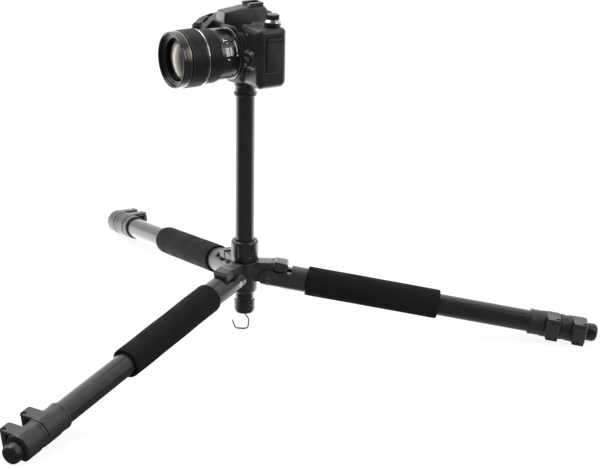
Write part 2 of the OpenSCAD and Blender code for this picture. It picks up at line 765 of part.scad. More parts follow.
// Front outline of the hump, which narrows upwards
module hump_front() {
    translate([0, 60, 0]) rotate([90, 0, 0]) linear_extrude(120) polygon([
        [-hump_half - 5, deck_z], [-hump_half, shoulder_z + 2], [-24, hump_z - 4], [-21, hump_z],
        [21, hump_z], [24, hump_z - 4], [hump_half, shoulder_z + 2], [hump_half + 5, deck_z]
    ]);
}

module hump() {
    intersection() {
        rotate([90, 0, 90]) translate([0, 0, -60]) linear_extrude(120) hump_profile();
        hump_front();
    }
}

// Space that the flash lifts out of
module flash_pocket(gap) {
    translate([-60, -80, flash_floor - gap]) cube([120, 80 + flash_hinge[0] - face_gap + gap, 60]);
}

module top_cover() {
    color("#1f1f21") on_camera() difference() {
        union() {
            intersection() {
                translate([0, 0, deck_z]) linear_extrude(shoulder_z - deck_z) body_plan();
                body_face(0, shoulder_z, 9);
            }
            hump();
            // Crown of the lens housing
            intersection() {
                lens_boss();
                translate([-50, -60, deck_z]) cube([100, 100, 30]);
            }
            // Flange that seats in the body's rim
            translate([0, 0, deck_z - 1.1]) linear_extrude(1.2) difference() {
                body_plan();
                body_plan(1.1);
            }
        }
        flash_pocket(face_gap);
        translate([-60, flash_hinge[0], flash_hinge[1]]) rotate([0, 90, 0])
            cylinder(r = 5.5 + face_gap, h = 120);
        // Spindle hole of the mode dial
        translate([dial_x, dial_y, deck_z]) cylinder(r = 4 + run_fit, h = 40);
        mirror_box();
        wheel_slot();
        // Bed of the hot shoe
        translate([-11, 0, hump_z - 0.8]) cube([22, 20.2, 5]);
        // Viewfinder window
        translate([-11, body_back - 6, finder_z - 5.5]) cube([22, 20, 11]);
        // Window of the top display
        translate([-body_right + 12, 6, shoulder_z - 0.7]) cube([34, 14, 4]);
    }
}

module pop_flash() {
    color("#232325") on_camera() difference() {
        union() {
            intersection() {
                hump();
                translate([-60, -80, flash_floor + eps]) cube([120, 80 + flash_hinge[0], 60]);
            }
            intersection() {
                translate([-21, flash_hinge[0], flash_hinge[1]]) rotate([0, 90, 0]) cylinder(r = 5, h = 42);
                translate([-60, flash_hinge[0] - eps, flash_hinge[1]]) cube([120, 20, 20]);
            }
        }
        // The tube window in the nose
        translate([-17, -50, flash_floor + 4]) cube([34, 50 - 34.5, 9]);
    }
}

module hot_shoe() {
    z = hump_z - 0.7;
    color("#a9abad") on_camera() difference() {
        translate([-10.5, 0.3, z]) cube([21, 19.4, 4.2]);
        translate([-9.4, -1, z + 1.1]) cube([18.8, 20, 2.1]);
        translate([-6.3, -1, z + 2]) cube([12.6, 20, 4]);
    }
}

module mode_dial() {
    color("#2a2a2c") on_camera() translate([dial_x, dial_y, shoulder_z + face_gap]) difference() {
        union() {
            rotate_extrude() polygon([
                [0, 0], [dial_r - 0.5, 0], [dial_r + 0.6, 1], [dial_r + 0.6, 5], [dial_r - 0.2, 6],
                [dial_r - 0.2, 13.5], [dial_r - 1.2, 14.5], [0, 14.5]
            ]);
            translate([0, 0, -7]) cylinder(r = 4, h = 7 + eps);
        }
        for (i = [0 : 23]) rotate([0, 0, i * 15]) translate([dial_r + 0.2, 0, 6.2]) cylinder(r = 0.8, h = 8);
    }
}

module shutter_button() {
    color("#38383a") on_camera() translate([grip_c[0], button_y, button_top - 8]) rotate_extrude() polygon([
        [0, 0], [button_r, 0], [button_r, 6.5], [button_r - 0.9, 8], [0, 7.2]
    ]);
}

module main_dial() {
    color("#2d2d2f") on_camera() translate([grip_c[0] - 3, wheel_y, wheel_z]) rotate([0, 90, 0]) difference() {
        cylinder(r = wheel_r, h = 6);
        for (i = [0 : 23]) rotate([0, 0, i * 15]) translate([wheel_r + 0.2, 0, -1]) cylinder(r = 0.7, h = 8);
    }
}

module rear_dial() {
    color("#2b2b2d") on_camera() translate([rear_dial_x, body_back - 1.7, rear_dial_z]) rotate([-90, 0, 0])
        difference() {
        union() {
            cylinder(r = rear_dial_r, h = 3.6);
            cylinder(r = 7.5, h = 4.4);
        }
        for (i = [0 : 29]) rotate([0, 0, i * 12]) translate([rear_dial_r + 0.2, 0, 1]) cylinder(r = 0.9, h = 6);
        translate([0, 0, 3]) pipe(8.6, 7.6, 4);
    }
}

module rear_screen() {
    color("#101114") on_camera() translate([screen_x, body_back + 1, screen_z]) rotate([90, 0, 0])
        linear_extrude(2.4) round_rect(screen_w, screen_h, 3);
}

module eyecup() {
    color("#151515") on_camera() difference() {
        translate([0, body_back + 5.2, finder_z]) rotate([90, 0, 0]) linear_extrude(5)
            round_rect(38, 20, 7);
        translate([-11, 0, finder_z - 5]) cube([22, 60, 10]);
    }
}

module port_cover() {
    color("#202020") on_camera() {
        translate([body_left + 0.6 - port_thick, port_y, port_z]) rotate([0, 90, 0])
            linear_extrude(port_thick) round_rect(port_h, port_w, 3);
        // Hinge pin along the rear edge
        translate([port_hinge[0], port_hinge[1], port_z - port_h / 2 + 3])
            cylinder(r = port_thick / 2 - 0.02, h = port_h - 6);
    }
}

module lens_release() {
    long = flange_d + 3.5 + body_front + 3;
    color("#262628") on_camera() translate([release_x, body_front + 3, release_z]) rotate([90, 0, 0])
        rotate_extrude() polygon([
            [0, 0], [release_r, 0], [release_r, long - 1], [release_r - 1, long], [0, long]
        ]);
}

/* ---- lens ---- */

module lens_barrel() {
    color("#1a1a1c") along_lens() rotate_extrude() polygon([
        [26.9, flange_d - 7], [26.9, flange_d + 1], [32.4, flange_d + 1],
        [32.4, flange_d + 3.5], [30.8, flange_d + 4], [30.8, flange_d + 8], [barrel_out + 0.2, flange_d + 9.5],
        [barrel_out + 0.6, focus_d - 1], [barrel_out - 0.8, focus_d], [barrel_out - 0.8, focus_d + focus_len],
        [barrel_out + 0.6, focus_d + focus_len + 0.3], [rim_r, band_d], [rim_r, band_d + band_len],
        [barrel_out, band_d + band_len], [barrel_out, head_d - 0.6],
        [barrel_in, head_d - 0.6], [barrel_in, focus_d - 2], [24, focus_d - 4], [24, flange_d - 7]
    ]);
}

module knurled_ring(r_out, r_in, len, ribs, groove) {
    difference() {
        rotate_extrude() polygon([
            [r_in, 0], [r_out - 0.5, 0], [r_out, 0.6], [r_out, len - 0.6], [r_out - 0.5, len], [r_in, len]
        ]);
        for (i = [0 : ribs - 1]) rotate([0, 0, 360 / ribs * i])
            translate([r_out - groove, -0.55, 1.4]) cube([groove + 1, 1.1, len - 2.8]);
    }
}

module zoom_ring() {
    color("#242424") along_lens() translate([0, 0, zoom_d])
        knurled_ring(zoom_r, barrel_out + run_fit, zoom_len, 48, 0.7);
}

module focus_ring() {
    color("#262626") along_lens() translate([0, 0, focus_d + 0.2])
        knurled_ring(barrel_out + 1.2, barrel_out - 0.8 + run_fit, focus_len - 0.4, 48, 0.5);
}

module front_barrel() {
    color("#151516") along_lens() rotate_extrude() polygon([
        [barrel_in - run_fit, head_d - 34], [barrel_in - run_fit, head_d], [rim_r - 0.9, head_d],
        [rim_r, head_d + 0.8], [rim_r, front_d - 1.2], [rim_r - 0.7, front_d], [filter_r, front_d],
        [filter_r, front_d - 6], [filter_r - 4, front_d - 8], [throat_r, front_d - 8.4], [throat_r, head_d - 34]
    ]);
}

module front_glass() {
    seat_r = throat_r - run_fit;
    dome_r = 100;
    sag = dome_r - sqrt(pow(dome_r, 2) - pow(seat_r, 2));
    color("#3a4a55") along_lens() intersection() {
        translate([0, 0, front_d - 15]) cylinder(r = seat_r, h = 20);
        translate([0, 0, front_d - 10.5 + sag - dome_r]) sphere(r = dome_r, $fn = 96);
    }
}

hub_casting();
pivot_bolts();
twist_collar();
column_bushing();
column_tube();
camera_plate();
camera_screw();
end_cap();
weight_hook();
leg_top(leg_a);  // leg_top_a
upper_tube(leg_a);  // upper_tube_a
foam_grip(leg_a);  // foam_grip_a
angle_latch(leg_a);  // angle_latch_a
lock_upper(leg_a);  // lock_upper_a
lever_upper(leg_a);  // lever_upper_a
mid_tube(leg_a);  // mid_tube_a
lock_lower(leg_a);  // lock_lower_a
lever_lower(leg_a);  // lever_lower_a
lower_tube(leg_a);  // lower_tube_a
foot(leg_a);  // foot_a
leg_top(leg_b);  // leg_top_b
upper_tube(leg_b);  // upper_tube_b
foam_grip(leg_b);  // foam_grip_b
angle_latch(leg_b);  // angle_latch_b
lock_upper(leg_b);  // lock_upper_b
lever_upper(leg_b);  // lever_upper_b
mid_tube(leg_b);  // mid_tube_b
lock_lower(leg_b);  // lock_lower_b
lever_lower(leg_b);  // lever_lower_b
lower_tube(leg_b);  // lower_tube_b
foot(leg_b);  // foot_b
leg_top(leg_c);  // leg_top_c
upper_tube(leg_c);  // upper_tube_c
foam_grip(leg_c);  // foam_grip_c
angle_latch(leg_c);  // angle_latch_c
lock_upper(leg_c);  // lock_upper_c
lever_upper(leg_c);  // lever_upper_c
mid_tube(leg_c);  // mid_tube_c
lock_lower(leg_c);  // lock_lower_c
lever_lower(leg_c);  // lever_lower_c
lower_tube(leg_c);  // lower_tube_c
foot(leg_c);  // foot_c
camera_body();
top_cover();
grip_skin();
rear_screen();
eyecup();
pop_flash();
hot_shoe();
mode_dial();
shutter_button();
main_dial();
rear_dial();
port_cover();
lens_release();
lens_barrel();
zoom_ring();
focus_ring();
front_barrel();
front_glass();
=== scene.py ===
"""Looks of a digital reflex camera on a tripod whose three legs are spread low.

Shapes are worked out in millimetres in a Stand, a place on the object with its own axes, and carried
from there into the row frame in metres. A Stand's origin and axes come from the CAD joints, and a
piece's own place from the box of the CAD node that it stands for."""
import json
import math

import bmesh
import bpy
import numpy as np
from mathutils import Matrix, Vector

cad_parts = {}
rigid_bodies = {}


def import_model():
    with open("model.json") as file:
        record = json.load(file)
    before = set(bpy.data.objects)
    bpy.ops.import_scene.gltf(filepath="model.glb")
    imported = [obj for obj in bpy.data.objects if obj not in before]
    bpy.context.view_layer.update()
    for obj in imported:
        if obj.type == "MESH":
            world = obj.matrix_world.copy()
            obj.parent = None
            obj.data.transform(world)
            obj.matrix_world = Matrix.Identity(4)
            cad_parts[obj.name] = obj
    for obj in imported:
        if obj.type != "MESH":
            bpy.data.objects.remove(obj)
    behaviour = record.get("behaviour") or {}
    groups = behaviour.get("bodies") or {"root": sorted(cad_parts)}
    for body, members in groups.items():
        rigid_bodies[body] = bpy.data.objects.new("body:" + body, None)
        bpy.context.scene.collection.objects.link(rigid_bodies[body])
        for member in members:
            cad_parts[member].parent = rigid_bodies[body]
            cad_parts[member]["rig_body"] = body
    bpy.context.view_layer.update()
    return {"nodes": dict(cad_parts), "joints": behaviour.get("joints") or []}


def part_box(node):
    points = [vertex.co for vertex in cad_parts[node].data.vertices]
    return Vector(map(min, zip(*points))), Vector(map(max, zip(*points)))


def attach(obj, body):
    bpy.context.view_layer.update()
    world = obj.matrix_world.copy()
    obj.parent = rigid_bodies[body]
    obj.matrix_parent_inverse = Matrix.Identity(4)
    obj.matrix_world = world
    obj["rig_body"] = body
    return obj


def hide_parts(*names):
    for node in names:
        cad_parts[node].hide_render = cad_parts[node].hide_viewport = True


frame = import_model()

MM = 0.001
LEGS = ("a", "b", "c")
JOINTS = {j["name"]: j for j in frame["joints"]}


# ---------------------------------------------------------------- places on the object


class Stand:
    """An origin in metres with three unit axes. place() carries points in its own millimetres into
    the row frame, and read() brings points of the row frame back."""

    def __init__(self, origin, x_axis, z_axis):
        x, z = np.array(x_axis, float), np.array(z_axis, float)
        self.origin = np.array(origin, float)
        self.axes = np.array([x, np.cross(z, x), z])

    def place(self, points):
        return self.origin + MM * (np.asarray(points, float) @ self.axes)

    def read(self, points):
        return (np.asarray(points, float) - self.origin) @ self.axes.T / MM


def span(node, stand):
    """Lowest and highest corner of a CAD node in a stand's millimetres."""
    mesh = frame["nodes"][node].data
    points = np.zeros(len(mesh.vertices) * 3)
    mesh.vertices.foreach_get("co", points)
    local = stand.read(points.reshape(-1, 3))
    return local.min(0), local.max(0)


def axis_of(joint):
    return np.array(JOINTS[joint]["axis"], float)


CENTRE = np.array(JOINTS["column_pan"]["pos_m"], float)
COLUMN = Stand(CENTRE, (1, 0, 0), (0, 0, 1))
LEG = {}
ALONG = {}
for leg in LEGS:
    down = axis_of("middle_slide_" + leg)
    up = np.cross(down, axis_of("leg_fold_" + leg))
    LEG[leg] = Stand(CENTRE, down, up)
    ALONG[leg] = Stand(CENTRE, -up, down)
ACROSS = axis_of("finger_wheel_turn")
AHEAD = axis_of("zoom_turn")
BASE = CENTRE.copy()
BASE[2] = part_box("camera_body")[0][2]
CAMERA = Stand(BASE, ACROSS, (0, 0, 1))
LENS_HEIGHT = CAMERA.read(JOINTS["zoom_turn"]["pos_m"])[2]
LENS = Stand(CAMERA.place((0, 0, LENS_HEIGHT)), ACROSS, AHEAD)
RELEASE = sum(p[0] for p in span("lens_release", CAMERA)) / 2


# ---------------------------------------------------------------- meshes from arrays


def grid_patch(rows, around=True, ends="caps"):
    """Rows of points, shape (n, m, 3), joined into quads. around joins each row's last point to its
    first; ends is "caps" for flat ends, "joined" to join the last row to the first, or "open"."""
    n, m = rows.shape[:2]
    index = np.arange(n * m).reshape(n, m)
    if ends == "joined":
        index = np.vstack([index, index[:1]])
    if around:
        index = np.hstack([index, index[:, :1]])
    quads = np.stack([index[:-1, :-1], index[:-1, 1:], index[1:, 1:], index[1:, :-1]], -1)
    faces = quads.reshape(-1, 4).tolist()
    if ends == "caps":
        faces.append(list(range(m))[::-1])
        faces.append(list(range((n - 1) * m, n * m)))
    points = rows.reshape(-1, 3)
    return points, faces if volume(points, faces) >= 0 else [f[::-1] for f in faces]


def volume(points, faces):
    """Signed volume inside the faces: positive when they face outward."""
    total = 0.0
    quads = np.array([f for f in faces if len(f) == 4])
    if len(quads):
        a, b, c, d = (points[quads[:, k]] for k in range(4))
        total += np.einsum("ij,ij->", a, np.cross(b, c)) + np.einsum("ij,ij->", a, np.cross(c, d))
    for f in faces:
        if len(f) != 4:
            p = points[f]
            total += np.einsum("ij,ij->", np.repeat(p[:1], len(f) - 2, 0), np.cross(p[1:-1], p[2:]))
    return total / 6


def soften(outline, reach, steps=3, closed=False):
    """An outline with each corner replaced by a short curve that starts reach before the corner, and
    with one more point on each straight so that the straight keeps its own shading."""
    p = np.array(outline, float)
    n = len(p)
    out = []
    for i in range(n):
        if not closed and i in (0, n - 1):
            out.append(p[i])
            continue
        a, b, c = p[i - 1], p[i], p[(i + 1) % n]
        back, on = a - b, c - b
        short = min(reach, 0.42 * np.linalg.norm(back), 0.42 * np.linalg.norm(on))
        back, on = back / np.linalg.norm(back) * short, on / np.linalg.norm(on) * short
        out.append(b + 1.15 * back)
        for t in np.linspace(0, 1, steps + 1):
            out.append(b + (1 - t) ** 2 * back + t ** 2 * on)
        out.append(b + 1.15 * on)
    return np.array(out)


def turned(outline, reach=0.4, sides=96, closed=False, wave=None):
    """Outline of (radius, height) turned about +Z, with softened corners. wave(angle, height) is a
    depth taken off the radius, for ribs and knurls."""
    p = soften(outline, reach, closed=closed)
    angle = np.linspace(0, 2 * math.pi, sides, endpoint=False)
    radius = np.repeat(p[:, :1], sides, 1)
    height = np.repeat(p[:, 1:], sides, 1)
    turn = np.repeat(angle[None], len(p), 0)
    if wave is not None:
        radius = radius - wave(turn, height, radius)
    rows = np.stack([radius * np.cos(turn), radius * np.sin(turn), height], -1)
    return grid_patch(rows, ends="joined" if closed else "caps")


def swept(path, radius, sides=24):
    """Round wire along a smooth path of points in one plane of x and z, its ends rounded off."""
    path = np.array(path, float)
    run = np.gradient(path, axis=0)
    run /= np.linalg.norm(run, axis=1)[:, None]
    side = np.cross(run, (0, 1, 0))
    taper = np.full(len(path), radius)
    rows = []
    turn = np.linspace(0, 2 * math.pi, sides, endpoint=False)
    for lead in (0.98, 0.8, 0.5):
        rows.append((path[0] - run[0] * radius * lead, side[0], radius * math.sqrt(1 - lead ** 2)))
    rows += list(zip(path, side, taper))
    for lead in (0.5, 0.8, 0.98):
        rows.append((path[-1] + run[-1] * radius * lead, side[-1], radius * math.sqrt(1 - lead ** 2)))
    rings = [
        c + r * (np.cos(turn)[:, None] * s + np.sin(turn)[:, None] * np.array([[0, 1, 0]]))
        for c, s, r in rows
    ]
    return grid_patch(np.array(rings))


def block(low, high, reach=0.4, corner=1.0, sides=6):
    """Box from its lowest to its highest corner, its upright edges rounded to corner and its top and
    bottom edges to reach."""
    low, high = np.array(low, float), np.array(high, float)
    half, mid = (high - low) / 2, (high + low) / 2
    levels = [(-half[2], reach), (-half[2] + 0.3 * reach, 0.3 * reach), (-half[2] + reach, 0)]
    levels += [(half[2] - reach, 0), (half[2] - 0.3 * reach, 0.3 * reach), (half[2], reach)]
    rows = []
    for height, inset in levels:
        r = max(corner - inset, 0.05)
        ring = []
        for k, (sx, sy) in enumerate(((1, 1), (-1, 1), (-1, -1), (1, -1))):
            a = np.linspace(k * math.pi / 2, (k + 1) * math.pi / 2, sides + 1)
            cx, cy = sx * (half[0] - inset - r), sy * (half[1] - inset - r)
            ring += [(cx + r * math.cos(t), cy + r * math.sin(t), height) for t in a]
        rows.append(ring)
    return grid_patch(np.array(rows) + mid)


def moved(patch, stand, other):
    """A patch drawn in one stand, given in another stand's millimetres."""
    points, faces = patch
    return other.read(stand.place(points)), faces


# ---------------------------------------------------------------- moulded shapes as distance fields


def blended(a, b, k):
    """Union of two fields with a fillet of about k between them."""
    h = np.clip(0.5 + 0.5 * (b - a) / k, 0, 1)
    return b + (a - b) * h - k * h * (1 - h)


def common(a, b, k=0.01):
    """What two fields have in common, its edge rounded by about k."""
    return -blended(-a, -b, k)


def capped(side, end, soft):
    """A distance to the side and one to the ends, joined by an edge rounded to soft."""
    a, b = side + soft, end + soft
    return np.hypot(np.maximum(a, 0), np.maximum(b, 0)) + np.minimum(np.maximum(a, b), 0) - soft


def between(w, low, high):
    return np.abs(w - (low + high) / 2) - (high - low) / 2


def rounded_plan(u, v, low, high, r):
    """Distance to a rectangle from low to high with corners of radius r."""
    a, b = between(u, low[0], high[0]) + r, between(v, low[1], high[1]) + r
    return np.hypot(np.maximum(a, 0), np.maximum(b, 0)) + np.minimum(np.maximum(a, b), 0) - r


def brick(x, y, z, low, high, corner, soft):
    """Rounded box: upright edges of radius corner, top and bottom edges of radius soft."""
    return capped(rounded_plan(x, y, low[:2], high[:2], corner), between(z, low[2], high[2]), soft)


def rod(u, v, w, r, low, high, soft):
    return capped(np.hypot(u, v) - r, between(w, low, high), soft)


def polygon(u, v, corners):
    """Distance to a polygon, negative inside: the nearest edge, with the sign of the winding."""
    p = np.array(corners, float)
    best = np.full(u.shape, 1e9)
    inside = np.zeros(u.shape, bool)
    for (ax, ay), (bx, by) in zip(p, np.roll(p, -1, 0)):
        ex, ey = bx - ax, by - ay
        wx, wy = u - ax, v - ay
        t = np.clip((wx * ex + wy * ey) / (ex * ex + ey * ey), 0, 1)
        best = np.minimum(best, np.hypot(wx - ex * t, wy - ey * t))
        if ay != by:
            crosses = ((ay > v) != (by > v)) & (u < ex * (v - ay) / ey + ax)
            inside ^= crosses
    return np.where(inside, -best, best)


def net(field, low, high, step):
    """The surface on which field(x, y, z) is zero, as quads: one point in each cell that the surface
    crosses, at the mean of its crossings with the cell's edges, then drawn onto the surface down the
    field's slope; one quad for each grid edge that the surface cuts."""
    axes = [np.arange(a - 1.5 * step, b + 2.5 * step, step) for a, b in zip(low, high)]
    grid = np.stack(np.meshgrid(*axes, indexing="ij"))
    value = field(*grid)
    inside = value < 0
    shape = np.array(value.shape) - 1
    total = np.zeros((int(np.prod(shape)), 3))
    count = np.zeros(len(total))
    rings = []
    for axis in range(3):
        first = [slice(None)] * 3
        second = [slice(None)] * 3
        first[axis], second[axis] = slice(0, -1), slice(1, None)
        cut = np.argwhere(inside[tuple(first)] != inside[tuple(second)])
        here = tuple(cut.T)
        after = tuple((cut + np.eye(3, dtype=int)[axis]).T)
        share = value[here] / (value[here] - value[after])
        points = np.stack([grid[k][here] for k in range(3)], 1)
        points[:, axis] += share * step
        u, v = (axis + 1) % 3, (axis + 2) % 3
        ring = []
        for du, dv in ((1, 1), (0, 1), (0, 0), (1, 0)):
            cell = cut.copy()
            cell[:, u] -= du
            cell[:, v] -= dv
            flat = np.ravel_multi_index(tuple(cell.T), shape, mode="clip")
            np.add.at(total, flat, points)
            np.add.at(count, flat, 1)
            ring.append(flat)
        ring = np.stack(ring, 1)
        rings.append(np.where(inside[here][:, None], ring, ring[:, ::-1]))
    quads = np.vstack(rings)
    used = np.flatnonzero(count)
    number = np.full(len(total), -1)
    number[used] = np.arange(len(used))
    points = total[used] / count[used][:, None]
    for _ in range(3):
        here = field(*points.T)
        slope = np.stack([
            (field(*(points + d).T) - field(*(points - d).T)) / 0.02
            for d in 0.01 * np.eye(3)
        ], 1)
        size = np.maximum(np.einsum("ij,ij->i", slope, slope), 0.3)
        points -= np.clip(here / size, -0.4 * step, 0.4 * step)[:, None] * slope
    return points, number[quads].tolist()


# ---------------------------------------------------------------- pieces


def make_piece(name, body, stand, patches, finish, stands_for=(), sharp=35):
    """One mesh object made of patches in a stand's millimetres, riding on a CAD body."""
    points, faces, start = [], [], 0
    for patch_points, patch_faces in patches:
        points.append(stand.place(patch_points))
        faces += [[start + k for k in f] for f in patch_faces]
        start += len(patch_points)
    mesh = bpy.data.meshes.new(name)
    mesh.from_pydata(np.vstack(points), [], faces)
    mesh.shade_smooth()
    mesh.set_sharp_from_angle(angle=math.radians(sharp))
    mesh.materials.append(finish)
    mesh.update()
    made = bpy.data.objects.new(name, mesh)
    bpy.context.scene.collection.objects.link(made)
    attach(made, body)
    if stands_for:
        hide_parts(*stands_for)
    return made


def dressed_copy(node, finish, edge=0.35, sharp=30):
    """A copy of a CAD node with its points merged, its flats made whole and its hard edges given a
    small bevel of edge millimetres. It stands for the node."""
    source = frame["nodes"][node]
    mesh = source.data.copy()
    mesh.name = node + "_look"
    work = bmesh.new()
    work.from_mesh(mesh)
    bmesh.ops.remove_doubles(work, verts=work.verts, dist=1e-6)
    bmesh.ops.dissolve_limit(
        work, angle_limit=math.radians(0.6), verts=work.verts, edges=work.edges,
        use_dissolve_boundaries=False)
    work.to_mesh(mesh)
    work.free()
    mesh.materials.clear()
    mesh.materials.append(finish)
    for name in ("custom_normal", "sharp_face"):
        if name in mesh.attributes:
            mesh.attributes.remove(mesh.attributes[name])
    mesh.shade_smooth()
    mesh.set_sharp_from_angle(angle=math.radians(sharp))
    made = bpy.data.objects.new(node + "_look", mesh)
    bpy.context.scene.collection.objects.link(made)
    if edge:
        bevel = made.modifiers.new("edges", "BEVEL")
        bevel.width = edge * MM
        bevel.segments = 2
        bevel.limit_method = "ANGLE"
        bevel.angle_limit = math.radians(sharp)
        bevel.harden_normals = True
    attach(made, source["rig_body"])
    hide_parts(node)
    return made


# ---------------------------------------------------------------- materials


def node_group(name, inputs, outputs):
    """An empty shader group with named sockets: (name, kind, default) in, (name, kind) out."""
    group = bpy.data.node_groups.new(name, "ShaderNodeTree")
    for label, kind, default in inputs:
        socket = group.interface.new_socket(label, in_out="INPUT", socket_type=kind)
        if default is not None:
            socket.default_value = default
    for label, kind in outputs:
        group.interface.new_socket(label, in_out="OUTPUT", socket_type=kind)
    return group, group.nodes.new("NodeGroupInput"), group.nodes.new("NodeGroupOutput")


def add(tree, kind, links=None, **settings):
    """A node with its plain settings, its sockets set by name, and links from other nodes' sockets."""
    made = tree.nodes.new(kind)
    for key, value in settings.items():
        setattr(made, key, value)
    for label, value in (links or {}).items():
        socket = made.inputs[label]
        if isinstance(value, bpy.types.NodeSocket):
            tree.links.new(value, socket)
        else:
            socket.default_value = value
    return made


def surface_tone_group():
    """Handled surface: a base colour mottled by soft noise, a roughness that follows it, and a fine
    grain as relief. All three are read from the object's own coordinates."""
    group, given, result = node_group(
        "surface_tone",
        [("Vector", "NodeSocketVector", None), ("Colour", "NodeSocketColor", (0.02, 0.02, 0.02, 1)),
         ("Roughness", "NodeSocketFloat", 0.4), ("Mottle", "NodeSocketFloat", 0.15),
         ("Mottle Scale", "NodeSocketFloat", 60.0), ("Grain", "NodeSocketFloat", 0.1),
         ("Grain Scale", "NodeSocketFloat", 2500.0), ("Grain Height", "NodeSocketFloat", 0.00005)],
        [("Colour", "NodeSocketColor"), ("Roughness", "NodeSocketFloat"), ("Normal", "NodeSocketVector")],
    )
    cloud = add(group, "ShaderNodeTexNoise", {
        "Vector": given.outputs["Vector"], "Scale": given.outputs["Mottle Scale"], "Detail": 4.0})
    swing = add(group, "ShaderNodeMapRange", {
        "Value": cloud.outputs["Fac"], "From Min": 0.3, "From Max": 0.7, "To Min": -1.0, "To Max": 1.0})
    share = add(group, "ShaderNodeMath", {0: swing.outputs["Result"], 1: given.outputs["Mottle"]},
                operation="MULTIPLY")
    gain = add(group, "ShaderNodeMath", {0: share.outputs[0], 1: 1.0}, operation="ADD")
    tint = add(group, "ShaderNodeVectorMath", {0: given.outputs["Colour"], "Scale": gain.outputs[0]},
               operation="SCALE")
    drift = add(group, "ShaderNodeMath", {0: share.outputs[0], 1: 0.5, 2: 1.0}, operation="MULTIPLY_ADD")
    rough = add(group, "ShaderNodeMath", {0: given.outputs["Roughness"], 1: drift.outputs[0]},
                operation="MULTIPLY", use_clamp=True)
    speck = add(group, "ShaderNodeTexNoise", {
        "Vector": given.outputs["Vector"], "Scale": given.outputs["Grain Scale"], "Detail": 2.0})
    relief = add(group, "ShaderNodeBump", {
        "Strength": given.outputs["Grain"], "Distance": given.outputs["Grain Height"],
        "Height": speck.outputs["Fac"]})
    group.links.new(tint.outputs[0], result.inputs["Colour"])
    group.links.new(rough.outputs[0], result.inputs["Roughness"])
    group.links.new(relief.outputs["Normal"], result.inputs["Normal"])
    return group


def pebble_group():
    """Height of a pebbled skin: rounded cells of two sizes with narrow valleys between them."""
    group, given, result = node_group(
        "pebble", [("Vector", "NodeSocketVector", None), ("Scale", "NodeSocketFloat", 700.0)],
        [("Height", "NodeSocketFloat")],
    )
    cells = add(group, "ShaderNodeTexVoronoi", {
        "Vector": given.outputs["Vector"], "Scale": given.outputs["Scale"]},
        feature="DISTANCE_TO_EDGE")
    dome = add(group, "ShaderNodeMapRange", {
        "Value": cells.outputs["Distance"], "From Min": 0.0, "From Max": 0.35},
        interpolation_type="SMOOTHSTEP")
    finer = add(group, "ShaderNodeMath", {0: given.outputs["Scale"], 1: 2.7}, operation="MULTIPLY")
    dust = add(group, "ShaderNodeTexNoise", {"Vector": given.outputs["Vector"], "Scale": finer.outputs[0]})
    both = add(group, "ShaderNodeMath", {0: dust.outputs["Fac"], 1: 0.3, 2: dome.outputs["Result"]},
               operation="MULTIPLY_ADD")
    group.links.new(both.outputs[0], result.inputs["Height"])
    return group


TONE = surface_tone_group()
PEBBLE = pebble_group()


def plain(name, colour, rough, metal=0.0, mottle=0.12, grain=0.15, grain_scale=2500.0, pebble=None,
          **sockets):
    """Material of one finish: the shared tone group on a Principled shader, with the pebble group as
    further relief where pebble is (cells per metre, height in metres). Other sockets are set as given."""
    finish = bpy.data.materials.new(name)
    finish.use_nodes = True
    tree = finish.node_tree
    shader = tree.nodes["Principled BSDF"]
    place = add(tree, "ShaderNodeTexCoord")
    tone = add(tree, "ShaderNodeGroup", node_tree=TONE)
    tree.links.new(place.outputs["Object"], tone.inputs["Vector"])
    tone.inputs["Colour"].default_value = (*colour, 1)
    tone.inputs["Roughness"].default_value = rough
    tone.inputs["Mottle"].default_value = mottle
    tone.inputs["Grain"].default_value = grain
    tone.inputs["Grain Scale"].default_value = grain_scale
    tree.links.new(tone.outputs["Colour"], shader.inputs["Base Color"])
    tree.links.new(tone.outputs["Roughness"], shader.inputs["Roughness"])
    normal = tone.outputs["Normal"]
    if pebble:
        skin = add(tree, "ShaderNodeGroup", node_tree=PEBBLE)
        tree.links.new(place.outputs["Object"], skin.inputs["Vector"])
        skin.inputs["Scale"].default_value = pebble[0]
        relief = add(tree, "ShaderNodeBump", {
            "Strength": 1.0, "Distance": pebble[1], "Height": skin.outputs["Height"], "Normal": normal})
        normal = relief.outputs["Normal"]
    tree.links.new(normal, shader.inputs["Normal"])
    shader.inputs["Metallic"].default_value = metal
    for label, value in sockets.items():
        shader.inputs[label.replace("_", " ")].default_value = value
    return finish


